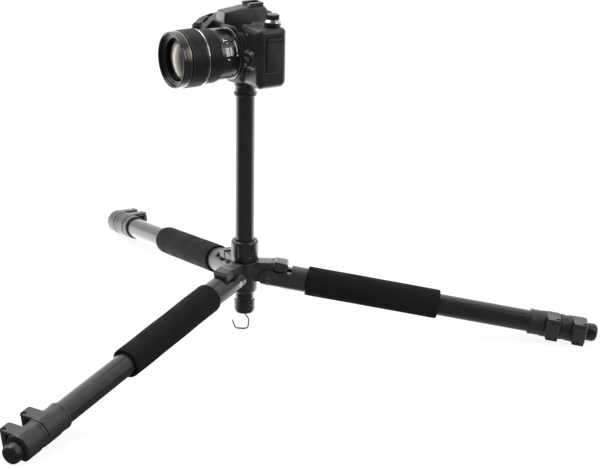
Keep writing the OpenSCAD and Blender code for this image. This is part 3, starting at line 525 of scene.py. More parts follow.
FINISH = {
    "casting": plain("casting_paint", (0.026, 0.026, 0.028), 0.36, mottle=0.2, grain=0.5, grain_scale=1800.0),
    "black_tube": plain("anodised_tube", (0.015, 0.015, 0.016), 0.26, mottle=0.1, Specular_IOR_Level=0.45),
    "foam": plain("closed_cell_foam", (0.009, 0.009, 0.009), 0.9, mottle=0.25, grain=0.9, grain_scale=1500.0,
                  pebble=(1500.0, 0.00022), Specular_IOR_Level=0.2),
    "foot_rubber": plain("foot_rubber", (0.009, 0.009, 0.009), 0.3, mottle=0.2, Specular_IOR_Level=0.4),
    "lock_plastic": plain("lock_nylon", (0.022, 0.022, 0.024), 0.42, grain=0.4, grain_scale=1400.0,
                          Specular_IOR_Level=0.4),
    "lever_plastic": plain("lever_nylon", (0.027, 0.027, 0.029), 0.40, grain=0.4, grain_scale=1400.0,
                           Specular_IOR_Level=0.4),
    "latch_metal": plain("latch_paint", (0.034, 0.034, 0.036), 0.38, grain=0.3),
    "bare_steel": plain("bare_steel", (0.5, 0.5, 0.5), 0.3, metal=1.0),
    "bright_steel": plain("bright_steel", (0.42, 0.42, 0.43), 0.22, metal=1.0, mottle=0.08),
    "black_steel": plain("black_oxide", (0.20, 0.20, 0.205), 0.3, metal=0.9),
    "hub_plastic": plain("hub_plastic", (0.014, 0.014, 0.015), 0.30, grain=0.2, Specular_IOR_Level=0.55),
    "bushing_plastic": plain("acetal", (0.045, 0.045, 0.046), 0.4),
    "camera_shell": plain("camera_shell", (0.014, 0.014, 0.015), 0.40, grain=0.5, grain_scale=2600.0,
                          Specular_IOR_Level=0.4),
    "camera_rubber": plain("grip_rubber", (0.009, 0.009, 0.009), 0.55, pebble=(900.0, 0.00012),
                           Specular_IOR_Level=0.35),
    "screen_glass": plain("screen_cover", (0.006, 0.007, 0.009), 0.06, grain=0.0, Coat_Weight=1.0),
    "lens_shell": plain("lens_shell", (0.009, 0.009, 0.010), 0.28, grain=0.25, Specular_IOR_Level=0.5),
}
GRIP_RIBS = plain("ring_rubber", (0.013, 0.013, 0.013), 0.5, grain=0.2)
# Light grey for the ribbed tops of the arms and latches: a painted highlight of the light falling on these
# tops.
PAINTED_HIGHLIGHT_PAD = plain("casting_painted_highlight", (0.22, 0.22, 0.225), 0.36, metal=0.4, mottle=0.25, grain=0.3)
SILVER = plain("silver_trim", (0.42, 0.42, 0.43), 0.28, metal=1.0, mottle=0.05)
SHOE = plain("shoe_metal", (0.11, 0.11, 0.115), 0.34, metal=1.0, mottle=0.1)
# Light grey for the flash's nose: a painted highlight of the light falling on its rounded front.
NOSE_PAINTED_HIGHLIGHT = plain("nose_painted_highlight", (0.30, 0.30, 0.305), 0.45, grain=0.3)
GOLD = plain("gold_trim", (0.36, 0.25, 0.12), 0.3, metal=1.0, mottle=0.05)
MARKS = plain("white_paint", (0.80, 0.80, 0.78), 0.5, mottle=0.05)


GLASS_R = 27.25


def ramp_node(tree, share, stops):
    """Colour ramp through stops of (place, colour)."""
    ramp = add(tree, "ShaderNodeValToRGB", {"Fac": share})
    ramp.color_ramp.elements[0].position, ramp.color_ramp.elements[1].position = stops[0][0], stops[-1][0]
    for at, _ in stops[1:-1]:
        ramp.color_ramp.elements.new(at)
    for element, (_, colour) in zip(ramp.color_ramp.elements, stops):
        element.color = (*colour, 1)
    return ramp


def glass_painted_reflection():
    """Front element: its colour runs across it in crescents, a brown coating tint at its edges, a painted
    cream reflection in the middle and a faint green coating tint beyond, inside two black baffle rings whose
    thin light rims are painted highlights."""
    finish = bpy.data.materials.new("glass_painted_reflection")
    finish.use_nodes = True
    tree = finish.node_tree
    shader = tree.nodes["Principled BSDF"]
    place = add(tree, "ShaderNodeTexCoord")
    centred = add(tree, "ShaderNodeVectorMath", {0: place.outputs["Object"], 1: tuple(LENS.origin)},
                  operation="SUBTRACT")
    across = add(tree, "ShaderNodeVectorMath", {0: centred.outputs[0], 1: tuple(ACROSS)},
                 operation="DOT_PRODUCT")
    height = add(tree, "ShaderNodeSeparateXYZ", {"Vector": centred.outputs[0]})
    square = add(tree, "ShaderNodeMath", {0: height.outputs["Z"], 1: height.outputs["Z"]},
                 operation="MULTIPLY")
    bent = add(tree, "ShaderNodeMath", {0: square.outputs[0], 1: -18.0, 2: across.outputs["Value"]},
               operation="MULTIPLY_ADD")
    share = add(tree, "ShaderNodeMapRange", {
        "Value": bent.outputs[0], "From Min": -0.027, "From Max": 0.014})
    # Brown and green stops are coating tints; the cream stop at 0.56 is a painted reflection.
    tint = ramp_node(tree, share.outputs["Result"], (
        (0.0, (0.002, 0.001, 0.001)), (0.12, (0.020, 0.007, 0.004)), (0.22, (0.008, 0.003, 0.002)),
        (0.33, (0.050, 0.022, 0.014)), (0.44, (0.085, 0.058, 0.048)), (0.56, (0.21, 0.195, 0.18)),
        (0.66, (0.075, 0.072, 0.054)), (0.80, (0.038, 0.036, 0.024)), (0.90, (0.012, 0.006, 0.004)),
        (1.0, (0.002, 0.002, 0.002))))
    sum_square = add(tree, "ShaderNodeMath", {
        0: across.outputs["Value"], 1: across.outputs["Value"], 2: square.outputs[0]},
        operation="MULTIPLY_ADD")
    radius = add(tree, "ShaderNodeMath", {0: sum_square.outputs[0]}, operation="SQRT")
    outward = add(tree, "ShaderNodeMapRange", {
        "Value": radius.outputs[0], "From Min": 0.0, "From Max": GLASS_R / 1000})
    # Black baffle rings; the light stops at 0.83 and 0.93 are painted highlights on their rims.
    baffle = ramp_node(tree, outward.outputs["Result"], [(at, (grey,) * 3) for at, grey in (
        (0.0, 1.0), (0.74, 1.0), (0.77, 0.10), (0.81, 0.06), (0.83, 0.5), (0.85, 0.06), (0.91, 0.05),
        (0.93, 0.35), (0.95, 0.05), (1.0, 0.03))])
    colour = add(tree, "ShaderNodeVectorMath", {0: tint.outputs["Color"], 1: baffle.outputs["Color"]},
                 operation="MULTIPLY")
    tree.links.new(colour.outputs[0], shader.inputs["Base Color"])
    shader.inputs["Metallic"].default_value = 1.0
    shader.inputs["Roughness"].default_value = 0.22
    return finish


FRONT_GLASS = glass_painted_reflection()


# ---------------------------------------------------------------- tripod legs

LOCK_R = 17.3
TUBES = {"upper": 14.5, "mid": 12.6, "lower": 10.8}
PLATE_END = -27.5
PIN = (5.5, -22.5, 2.0)


def lock_field(low, ring, high, outer_tube, inner_tube):
    """Flip lock in the leg's millimetres: a sleeve and a clamp ring in one round moulding, a flat
    plate that runs out of its top to the lever's pin, a smaller plate below, and the bores."""
    pin_x = high - PIN[0]
    lower_plate = -12.5

    def field(x, y, z):
        body = rod(y, z, x, LOCK_R - 0.7, low, high, 1.6)
        band = rod(y, z, x, LOCK_R, ring - 2.5, high, 1.4)
        rim = rod(y, z, x, LOCK_R - 0.2, low + 0.2, low + 4.2, 0.8)
        shape = blended(blended(body, band, 0.8), rim, 0.6)
        top = brick(x, y, z, (ring + 2, PLATE_END, LOCK_R - 4.5), (high - 2, 4, LOCK_R), 3.4, 0.9)
        shape = blended(shape, top, 1.2)
        under = brick(x, y, z, (ring + 4, PLATE_END + 1, lower_plate),
                      (high - 2, -8, lower_plate + 3.5), 2.5, 0.8)
        pin = rod(x - pin_x, y - PIN[1], z, PIN[2], lower_plate + 1, LOCK_R - 1.5, 0.3)
        shape = np.minimum(blended(shape, under, 1.5), pin)
        well = rod(x - pin_x, y - PIN[1], z, 3.2, LOCK_R - 2.0, LOCK_R + 4, 0.3)
        nut = rod(x - pin_x, y - PIN[1], z, 2.2, LOCK_R - 3.0, LOCK_R - 1.0, 0.4)
        shape = np.minimum(common(shape, -well, 0.4), nut)
        slit = brick(x, y, z, (ring + 1, -LOCK_R - 2, -0.8), (high + 2, -9, 0.8), 0.2, 0.2)
        bore = np.minimum(rod(y, z, x, inner_tube + 0.08, low + 4, high + 9, 0.1),
                          rod(y, z, x, outer_tube + 0.08, low - 9, ring - 0.5, 0.1))
        return np.maximum(np.maximum(shape, -slit), -bore)

    return field


def lever_field(ring, high):
    """Flip lever: a boss round the pin and an arm along the tube with grip ribs on its outer face."""
    pin_x = high - PIN[0]
    arm = pin_x - ring - 1
    low, top = -8.8, LOCK_R - 4.7
    outline = [(0, -4.3), (0, 1.5), (-arm + 3, 1.9), (-arm + 0.5, 0.6), (-arm, -1.8),
               (-arm + 1.2, -4.6), (-arm + 4, -6.2), (-5, -5.6)]

    def field(x, y, z):
        u, v = x - pin_x, y - PIN[1]
        plate = capped(polygon(u, v, outline) + 0.3, between(z, low, top), 0.8)
        boss = rod(u, v, z, 4.3, low, top, 0.6)
        ribs = (0.35 * np.sin(2 * math.pi * u / 2.3)
                * np.clip((-v - 3.0) / 1.5, 0, 1) * np.clip((-u - 4) / 2, 0, 1))
        return np.maximum(blended(plate, boss, 1.0) + np.maximum(ribs, 0), -(np.hypot(u, v) - 2.06))

    return field


def leg_pieces(leg):
    stand, along = LEG[leg], ALONG[leg]
    for tube, body in (("upper", "leg_"), ("mid", "middle_"), ("lower", "lower_")):
        node = f"{tube}_tube_{leg}"
        low, high = (p[0] for p in span(node, stand))
        r = TUBES[tube]
        outline = [(r, low), (r, high), (r - 1.2, high), (r - 1.2, low)]
        make_piece(node + "_look", body + leg, along, [turned(outline, 0.25, 96, closed=True)],
                   FINISH["black_tube"], [node])
    node = "foam_grip_" + leg
    low, high = (p[0] for p in span(node, stand))
    r = TUBES["upper"] + 5
    outline = [(TUBES["upper"] + 0.05, low), (r - 0.6, low), (r, low + 3), (r, high - 3), (r - 0.6, high),
               (TUBES["upper"] + 0.05, high)]
    rows = soften(outline, 2.2, 6, closed=True)
    extra = np.linspace(low + 6, high - 6, 60)
    grip = make_piece(node + "_look", "leg_" + leg, along,
                      [foam_patch(rows, extra, r)], FINISH["foam"], [node])
    upper = span("lock_upper_" + leg, stand)
    lower = span("lock_lower_" + leg, stand)
    for node, body, lever, lever_body, box_, radii in (
        ("lock_upper_", "leg_", "lever_upper_", "upper_lever_", upper, ("upper", "mid")),
        ("lock_lower_", "middle_", "lever_lower_", "lower_lever_", lower, ("mid", "lower")),
    ):
        low, high = box_[0][0], box_[1][0]
        ring = high - 22
        field = lock_field(low, ring, high, TUBES[radii[0]], TUBES[radii[1]])
        patch = net(field, (low, PLATE_END, -LOCK_R), (high, LOCK_R, LOCK_R), 0.62)
        make_piece(node + leg + "_look", body + leg, stand, [patch], FINISH["lock_plastic"],
                   [node + leg], sharp=60)
        low_l, high_l = span(lever + leg, stand)
        patch = net(lever_field(ring, high), low_l, high_l, 0.5)
        make_piece(lever + leg + "_look", lever_body + leg, stand, [patch], FINISH["lever_plastic"],
                   [lever + leg], sharp=60)
    foot = "foot_" + leg
    low, high = (p[0] for p in span(foot, stand))
    r = 12.0
    outline = [(10.85, low), (r - 0.6, low), (r - 0.6, low + 2.8), (r, low + 3.6), (r, high - 5),
               (r - 1.4, high - 1.6), (r - 5, high), (5.8, high), (5.4, high - 0.8), (4.6, high - 0.8),
               (4.2, high), (0.1, high)]
    make_piece(foot + "_look", "lower_" + leg, along, [turned(outline, 1.2, 96)], FINISH["foot_rubber"],
               [foot])
    dressed_copy("leg_top_" + leg, FINISH["casting"], 0.5)
    dressed_copy("angle_latch_" + leg, FINISH["latch_metal"], 0.35)


def foam_patch(rows, extra, r):
    """Foam sleeve: its closed outline turned about the leg, the outer wall with fine rows of points
    and a very slight waviness of hand-cut foam."""
    outer = np.flatnonzero(np.diff(rows[:, 1]) > 50)[0] + 1
    wall = np.stack([np.full(len(extra), r), extra], 1)
    p = np.vstack([rows[:outer], wall, rows[outer:]])
    turn = np.linspace(0, 2 * math.pi, 96, endpoint=False)
    h = p[:, 1:]
    wave = 0.12 * np.sin(3 * turn + h / 19) * np.sin(h / 31) + 0.08 * np.sin(5 * turn - h / 11)
    on_wall = np.clip((p[:, :1] - (r - 1)) / 1.0, 0, 1)
    radius = p[:, :1] - on_wall * (0.2 - wave)
    points = np.stack([radius * np.cos(turn), radius * np.sin(turn), np.repeat(h, 96, 1)], -1)
    return grid_patch(points, ends="joined")


for leg in LEGS:
    leg_pieces(leg)


# ---------------------------------------------------------------- hub and column

COLUMN_R = 12.5
COLLAR_R = 18.2
CAP_R = 13.9
HUB_R = 16.8
ARM_HALF = 10.0
ARM_TOP = 13.5


def hub_pieces():
    dressed_copy("hub_casting", FINISH["casting"], 0.4)
    dressed_copy("pivot_bolts", FINISH["black_steel"], 0.25)
    dressed_copy("column_bushing", FINISH["bushing_plastic"], 0)
    low, high = (p[2] for p in span("twist_collar", COLUMN))
    crown = [(15.8, low), (17.4, low), (17.4, low + 3.8), (16.8, low + 4.4), (15.8, low + 4.4)]
    make_piece("hub_crown", "hub", COLUMN, [turned(crown, 0.3, 96, closed=True)],
               FINISH["casting"])
    low += 4.7
    field = collar_field(low, high)
    make_piece("twist_collar_look", "collar", COLUMN,
               [net(field, (-COLLAR_R, -COLLAR_R, low), (COLLAR_R, COLLAR_R, high), 0.6)],
               FINISH["hub_plastic"], ["twist_collar"], sharp=60)
    low, high = (p[2] for p in span("column_tube", COLUMN))
    outline = [(COLUMN_R, low), (COLUMN_R, high), (COLUMN_R - 1.5, high), (COLUMN_R - 1.5, low)]
    make_piece("column_tube_look", "column", COLUMN, [turned(outline, 0.3, 128, closed=True)],
               FINISH["black_tube"], ["column_tube"])
    low, high = (p[2] for p in span("end_cap", COLUMN))
    r = CAP_R
    outline = [(1.3, low), (r - 4.5, low), (r - 1.2, low + 1.3), (r, low + 4.6), (r, low + 8.6),
               (r - 0.7, low + 9.2), (r - 0.7, low + 10), (r, low + 10.6), (r, high - 5.4),
               (r - 0.7, high - 4.8), (r - 0.7, high - 4.2), (r, high - 3.6), (r, high - 1), (r - 1, high),
               (COLUMN_R + 0.05, high), (COLUMN_R + 0.05, high - 8), (1.3, high - 8)]
    make_piece("end_cap_look", "column", COLUMN, [turned(outline, 0.5, 96, closed=True)],
               FINISH["hub_plastic"], ["end_cap"])
    dressed_copy("camera_plate", FINISH["hub_plastic"], 0.3)
    dressed_copy("camera_screw", FINISH["bare_steel"], 0)
    ribbed_pads()
    hook_piece()


def ribbed_pads():
    """Ribs across the hub's three arm tops and across each angle latch, lighter than the paint: their light
    grey is a painted highlight of the light falling on these tops.
    """
    arms = []
    for leg in LEGS:
        level = LEG[leg].axes[0] * (1, 1, 0)
        arm = Stand(CENTRE, level / np.linalg.norm(level), (0, 0, 1))
        for k in range(7):
            start = HUB_R + 3.25 + 2.4 * k
            patch = block((start, -ARM_HALF + 0.4, ARM_TOP - 0.5),
                          (start + 1.1, ARM_HALF - 0.4, ARM_TOP + 0.06), 0.05, 0.2, 2)
            arms.append(moved(patch, arm, COLUMN))
        low, high = span("angle_latch_" + leg, LEG[leg])
        ribs = []
        for k in range(6):
            start = low[0] + 0.7 + 2.3 * k + (1.3 if k else 0)
            stop = low[0] + 2.8 + 2.3 * k
            patch = block((start, low[1] + 0.5, high[2] - 0.5), (stop, high[1] - 0.5, high[2] + 0.06),
                          0.05, 0.2, 2)
            ribs.append(patch)
        make_piece("latch_ribs_" + leg, "latch_" + leg, LEG[leg], ribs, PAINTED_HIGHLIGHT_PAD)
    make_piece("arm_ribs", "hub", COLUMN, arms, PAINTED_HIGHLIGHT_PAD)


def collar_field(low, high):
    """Twist collar: a turned shell, narrower at its foot, with six long flutes that widen downwards."""
    r = COLLAR_R
    outline = [(13.0, low), (r - 2, low), (r - 1, low + 2.5), (r - 0.3, low + 7), (r, low + 11),
               (r, high - 2.6), (r - 1.0, high - 0.7), (r - 2.6, high), (13.0, high)]
    neck = 15.6

    def field(x, y, z):
        radius = np.hypot(x, y)
        shell = polygon(radius, z, outline) + 0.0
        inner = np.where(z < high - 8.4, neck, COLUMN_R + 0.5) - radius
        turn = (np.arctan2(y, x) - math.radians(30)) / (math.pi / 3)
        offset = (turn - np.round(turn)) * (math.pi / 3) * r
        width = 2.9 - 1.5 * np.clip((z - low - 9) / 17, 0, 1)
        depth = 1.2 * np.clip(1 - (offset / np.maximum(width, 0.5)) ** 2, 0, 1) ** 1.5
        depth *= np.clip((z - low - 8) / 2, 0, 1) * np.clip((low + 26 - z) / 8, 0, 1)
        return np.maximum(shell + depth, inner)

    return field


def hook_piece():
    """Weight hook: the CAD hook's own centreline, drawn round with many sides."""
    low, high = span("weight_hook", COLUMN)
    turn = math.radians(35)
    hook = Stand(CENTRE, (math.cos(turn), math.sin(turn), 0), (0, 0, 1))
    top = span("end_cap", COLUMN)[0][2] - 1.5
    r = 1.25
    floor = low[2] + r
    bends = np.array([
        (0, top + 1), (0.4, top - 1.5), (4.6, top - 8), (5.4, (top + floor) / 2), (4.6, floor + 3),
        (1.8, floor + 0.2), (-5, floor), (-10.8, floor + 1), (-13.2, floor + 4), (-16, floor + 11.5)])
    padded_row = np.vstack([bends[:1], bends, bends[-1:]])
    t = np.linspace(0, 1, 12, endpoint=False)[:, None]
    path = [(0, high[2] - 1), (0, top + 4)]
    for i in range(len(bends) - 1):
        a, b, c, d = padded_row[i:i + 4]
        path += list(0.5 * (2 * b + (c - a) * t + (2 * a - 5 * b + 4 * c - d) * t ** 2
                            + (3 * b - a - 3 * c + d) * t ** 3))
    path.append(tuple(bends[-1]))
    line = np.array([(x, 0, z) for x, z in path])
    make_piece("weight_hook_look", "hook", hook, [swept(line, r)], FINISH["bright_steel"],
               ["weight_hook"])


hub_pieces()


# ---------------------------------------------------------------- camera body

SIDE_LOW, SIDE_HIGH = -82.0, 63.0
FACE, BACK = -18.0, 24.0
SHOULDER = 76.5
DECK = 68.5
HUMP = 95.5
NOSE_FLOOR = HUMP - 19
FINDER = HUMP - 18
HINGE = (-5.0, HUMP - 5)
GRIP = (SIDE_LOW + 17.5, FACE - 9, 16.0)
GRIP_HEAD = SHOULDER - 19.5
GAP = 0.3
NOSE = ((-37.0, NOSE_FLOOR + 3.5), (-35.3, HUMP - 4.9))
HUMP_SIDE = [(-23.5, DECK), (-23.5, NOSE_FLOOR - 3), (-36.2, NOSE_FLOOR + 0.2), *NOSE, (-33.5, HUMP - 4.2),
             (-4, HUMP), (BACK - 4, HUMP), (BACK - 1, HUMP - 3), (BACK, DECK)]


def hump_field(x, y, z):
    """Viewfinder hump: its side outline in common with two flanks that widen downwards and towards
    the back, from a narrow nose."""
    low = np.interp(y, (-37, HINGE[0], 6), (11.5, 27, 31))
    top = np.interp(y, (-37, BACK), (10.0, 12.5))
    lean = (low - top) / (HUMP - NOSE_FLOOR)
    half = top + lean * np.clip(HUMP - z, -2, 26)
    flank = (np.abs(x) - half) / np.sqrt(1 + lean ** 2)
    edge = np.interp(y, (-36, -16), (1.2, 4.0))
    return common(polygon(y, z, HUMP_SIDE[::-1]), flank, edge) + 0.1 * edge


def case_field(x, y, z):
    """Body with its hand grip, lens boss and shoulders run together, before anything is cut out."""
    plan = rounded_plan(x, y, (SIDE_LOW, FACE), (SIDE_HIGH, BACK), 8)
    case = capped(plan, between(z, 0, SHOULDER), np.where(z < SHOULDER / 2, 10.0, 7.0))
    column = np.hypot(x - GRIP[0], y - GRIP[1]) - GRIP[2]
    web = rounded_plan(x, y, (GRIP[0] - GRIP[2], GRIP[1]), (GRIP[0] + GRIP[2], FACE + 6), 1)
    hand = capped(blended(column, web, 3), between(z, 2, SHOULDER), 4.5)
    head = np.interp(y, (-43, -34, -21, -11, 2), (GRIP_HEAD - 5, 57.8, 69.2, 74.3, 77.6))
    head += 30 * np.clip((x + 46) / 10, 0, 1) ** 2
    crest = SHOULDER + 0.6 - np.maximum(-57 - x, 0) ** 2 / 50
    shape = common(common(blended(case, hand, 6), (z - head) / 1.2, 3.5), (z - crest) / 1.1, 3)
    turret = rod(x - GRIP[0], y - GRIP[1] + 7, z, 7.2, GRIP_HEAD - 9, GRIP_HEAD + 5, 1.2)
    shape = blended(shape, turret, 2.5)
    level = z - LENS_HEIGHT
    boss = capped(np.hypot(x, level) - 37.6, between(y, FACE - 6, FACE + 12), 1.5)
    foot = brick(x, z, y, (-27, 2.5, FACE - 3), (27, 24, FACE + 6), 6, 2)
    ear = rod(x - RELEASE, level, y, 9.6, FACE - 5.2, FACE + 6, 2.2)
    neck = brick(x, level, y, (20, -9.6, FACE - 5.2), (RELEASE, 9.6, FACE + 6), 1, 2.2)
    front = blended(blended(boss, foot, 5), blended(ear, neck, 1.5), 3.5)
    return common(blended(shape, front, 4), between(z, 0, 200), 1.0)


def body_field(x, y, z):
    """Body and hump together, less the flash's bed and the wells of the parts let into it."""
    hump = hump_field(x, y, z)
    rear = common(hump, HINGE[0] + GAP - y, 0.5)
    under = common(hump, z - NOSE_FLOOR + GAP, 0.3)
    shape = blended(blended(case_field(x, y, z), rear, 4.5), under, 2)
    knuckle = rod(y - HINGE[0], z - HINGE[1], x, 5 + GAP, -40, 40, 0.1)
    mirror_box = rod(x, z - LENS_HEIGHT, y, 27, -60, 2, 0.3)
    finder = brick(x, z, y, (-11, FINDER - 5.5, BACK - 6), (11, FINDER + 5.5, BACK + 20), 2, 0.5)
    shape = np.maximum(shape, -np.minimum(np.minimum(knuckle, mirror_box), finder))
    well = rod(x - GRIP[0], y - GRIP[1] + 7, z, 5.4, GRIP_HEAD + 2, GRIP_HEAD + 40, 0.2)
    slot_low, slot_high = span_box("main_dial", CAMERA, 0.7)
    slot_high[2] = 120
    slot = brick(x, y, z, slot_low, slot_high, 0.6, 0.3)
    shape = np.maximum(shape, -np.minimum(well, slot))
    for node in ("rear_screen", "port_cover"):
        shape = np.maximum(shape, -brick(x, y, z, *span_box(node, CAMERA, 0.4), 0.6, 0.3))
    release = rod(x - RELEASE, z - LENS_HEIGHT, y, 5.5, FACE - 12, FACE + 8, 0.8)
    dial_low, dial_high = span("rear_dial", CAMERA)
    mid = (dial_low + dial_high) / 2
    dial = rod(x - mid[0], z - mid[2], y, 17.6, BACK - 1.8, BACK + 9, 0.2)
    return np.maximum(shape, -np.minimum(release, dial))


def span_box(node, stand, margin):
    low, high = span(node, stand)
    return low - margin, high + margin


def flash_field(x, y, z):
    """Pop-up flash: the hump ahead of its hinge with a round knuckle behind."""
    knuckle = np.hypot(y - HINGE[0], z - HINGE[1]) - 5
    part = common(hump_field(x, y, z), np.minimum(y - HINGE[0], knuckle), 0.5)
    return common(part, NOSE_FLOOR + 0.02 - z, 0.8)


def grip_rubber_field(x, y, z):
    """Rubber skin over the hand grip: the body's own surface raised by 0.6 within the grip's zone."""
    raised = case_field(x, y, z) - 0.6
    zone = brick(x, y, z, (SIDE_LOW - 3, -60, 6), (GRIP[0] + GRIP[2] - 1, FACE + 13, GRIP_HEAD - 4), 4, 3)
    return common(raised, zone, 0.8)


def camera_pieces():
    step = 0.9
    low, high = (SIDE_LOW, -46.0, 0.0), (SIDE_HIGH, BACK, HUMP)
    make_piece("camera_shell_look", "column", CAMERA, [net(body_field, low, high, step)],
               FINISH["camera_shell"], ["camera_body", "top_cover"], sharp=50)
    make_piece("pop_flash_look", "flash", CAMERA,
               [net(flash_field, (-32, -38, NOSE_FLOOR), (32, 1, HUMP + 0.5), step * 0.7)],
               FINISH["camera_shell"], ["pop_flash"], sharp=50)
    make_piece("grip_skin_look", "column", CAMERA,
               [net(grip_rubber_field, (SIDE_LOW - 1, -46, 4), (GRIP[0] + 18, FACE + 14, DECK), step)],
               FINISH["camera_rubber"], ["grip_skin"], sharp=50)
    # A light grey plate over the flash's nose: a painted highlight where light falls on its rounded front.
    low, high = NOSE
    tall = math.hypot(high[0] - low[0], high[1] - low[1])
    up = ((high[1] - low[1]) * AHEAD + (high[0] - low[0]) * np.array([0, 0, 1])) / tall
    face = Stand(CAMERA.place((0, (low[0] + high[0]) / 2, (low[1] + high[1]) / 2)), ACROSS, up)
    make_piece("flash_nose_highlight", "flash", face,
               [block((-9.6, -0.5 * tall + 0.2, -0.5), (9.6, 0.5 * tall - 0.2, 0.1), 0.1, 2.4)],
               NOSE_PAINTED_HIGHLIGHT)
    dressed_copy("rear_screen", FINISH["screen_glass"], 0.4)
    dressed_copy("eyecup", FINISH["camera_rubber"], 1.2)
    dressed_copy("hot_shoe", SHOE, 0.2)
    dressed_copy("shutter_button", FINISH["camera_shell"], 0.3)
    dressed_copy("main_dial", FINISH["camera_shell"], 0.2)
    dressed_copy("rear_dial", FINISH["camera_shell"], 0.3)
    dressed_copy("lens_release", FINISH["camera_shell"], 0.4)
    port_cover_piece()
    mode_dial_piece()
    small_camera_pieces()


def port_cover_piece():
    """Door over the sockets: a rubber panel and a narrow strip above it, with a seam between them."""
    low, high = span("port_cover", CAMERA)
    panel = Stand(CAMERA.place((0, 0, 0)), -AHEAD, ACROSS)
    rows = []
    for bottom, top in ((low[2], high[2] - 5.6), (high[2] - 5.1, high[2])):
        patch = block((low[1], bottom, low[0]), (high[1], top, high[0]), 0.5, 2.2)
        rows.append(moved(patch, panel, CAMERA))
    make_piece("port_cover_look", "port_flap", CAMERA, rows, FINISH["camera_rubber"],
               ["port_cover"])


def mode_dial_piece():
    """Mode dial: a dark foot, a bright tapered band and a knurled cap with generic setting marks."""
    low, high = span("mode_dial", CAMERA)
    axis = CAMERA.read(JOINTS["mode_turn"]["pos_m"])
    dial = Stand(CAMERA.place((axis[0], axis[1], SHOULDER)), ACROSS, (0, 0, 1))
    r = (high[0] - low[0]) / 2
    top = high[2] - SHOULDER
    cap_r = r - 2.9
    band = [(3, 4.4), (r - 0.3, 4.4), (r, 4.9), (r - 0.3, 5.6), (cap_r + 0.3, 8.6), (3, 8.8)]
    foot = [(3, 0.3), (r - 1.2, 0.3), (r - 0.5, 0.9), (r - 0.5, 4.4), (3, 4.4)]
    cap = [(0.1, 8.2), (cap_r - 0.2, 8.2), (cap_r, 8.8), (cap_r, top - 1.2), (cap_r - 1.0, top), (0.1, top)]

    def knurl(turn, _, radius):
        on_wall = np.clip((radius - (cap_r - 0.9)) / 0.6, 0, 1)
        return on_wall * 0.25 * (1 - np.cos(36 * turn))

    make_piece("mode_dial_look", "modes", dial, [turned(cap, 0.5, 432, wave=knurl), turned(foot, 0.3, 96)],
               FINISH["camera_shell"], ["mode_dial"])
    make_piece("mode_dial_band", "modes", dial, [turned(band, 0.25, 96)], SILVER)
    marks = []
    for k in range(10):
        turn = math.radians(36 * k)
        spot = Stand((0, 0, 0), (math.cos(turn), math.sin(turn), 0), (0, 0, 1))
        patch = block((cap_r - 3.4, -0.3, top - 0.05), (cap_r - 1.7, 0.3, top + 0.06), 0.02, 0.15, 2)
        marks.append((patch[0] @ spot.axes, patch[1]))
    make_piece("mode_dial_marks", "modes", dial, marks, MARKS)


def round_key(stand, spot, r, rise):
    """A round button with softened edges, given in camera millimetres."""
    patch = turned([(0.1, -1.0), (r, -1.0), (r, 0.6 * rise), (r - 0.6, rise), (0.1, rise)], 0.3, 32)
    points = CAMERA.read(stand.place(patch[0]))
    return points + np.array(spot, float), patch[1]


def small_camera_pieces():
    """Small trim: the display window on the shoulder, buttons at the back, top and front, and the
    finder glass."""
    shell, glass = FINISH["camera_shell"], FINISH["screen_glass"]
    window = block((SIDE_LOW + 20, 5.4, SHOULDER - 1.2), (SIDE_LOW + 45.4, 17.6, SHOULDER + 0.15), 0.3, 2)
    make_piece("top_display", "column", CAMERA, [window], glass)
    finder = block((-10.7, BACK - 6.2, FINDER - 5.3), (10.7, BACK - 4.6, FINDER + 5.3), 0.2, 0.6)
    make_piece("finder_glass", "column", CAMERA, [finder], glass)
    at_base = CAMERA.place((0, 0, 0))
    back, above = Stand(at_base, ACROSS, -AHEAD), Stand(at_base, ACROSS, (0, 0, 1))
    front = Stand(at_base, ACROSS, AHEAD)
    keys = [round_key(back, (x, BACK, z), 3.0, 1.1)
            for x, z in ((40, 58), (40, 47), (40, 36), (40, 25), (40, 14), (-45, 63), (-56, 63), (-67, 63))]
    keys += [round_key(above, (x, 0.2, SHOULDER), 2.4, 0.8) for x in (-59, -49, -39)]
    keys += [round_key(front, (35, FACE, 66.5), 2.3, 0.7), round_key(front, (39.5, FACE, 61.5), 1.3, 0.4)]
    make_piece("body_buttons", "column", CAMERA, keys, shell)
    make_piece("front_key_mark", "column", CAMERA, [round_key(front, (35, FACE - 0.62, 66.5), 0.9, 0.16)],
               MARKS)


camera_pieces()


# ---------------------------------------------------------------- lens

FLANGE = 25.0
BARREL_R = 33.0
RIB_PITCH = 3.2


def ribs_wave(count, depth, low, high, radius_on):
    """Depth of lengthwise grooves on a ring's wall between two heights, their flanks steep."""

    def wave(turn, height, radius):
        rows = np.clip(1.6 * np.cos(2 * math.pi * (height - low) / RIB_PITCH) - 0.9, 0, 1)
        profile = np.maximum(np.clip(1.6 * np.cos(count * turn) - 0.35, 0, 1), rows)
        run = np.clip((height - low) / 0.5, 0, 1) * np.clip((high - height) / 0.5, 0, 1)
        return depth * profile * run * (radius > radius_on)

    return wave


def dense(outline, r, low, high, pitch=0.5):
    """Adds points along an outline's wall at radius r, so that a wave has rows to follow."""
    p = [tuple(q) for q in outline]
    for k in range(len(p) - 1):
        if abs(p[k][0] - r) < 1e-6 and abs(p[k + 1][0] - r) < 1e-6:
            wall = [(r, h) for h in np.arange(low, high + pitch / 2, pitch)]
            return p[:k + 1] + wall + p[k + 1:]
    return p


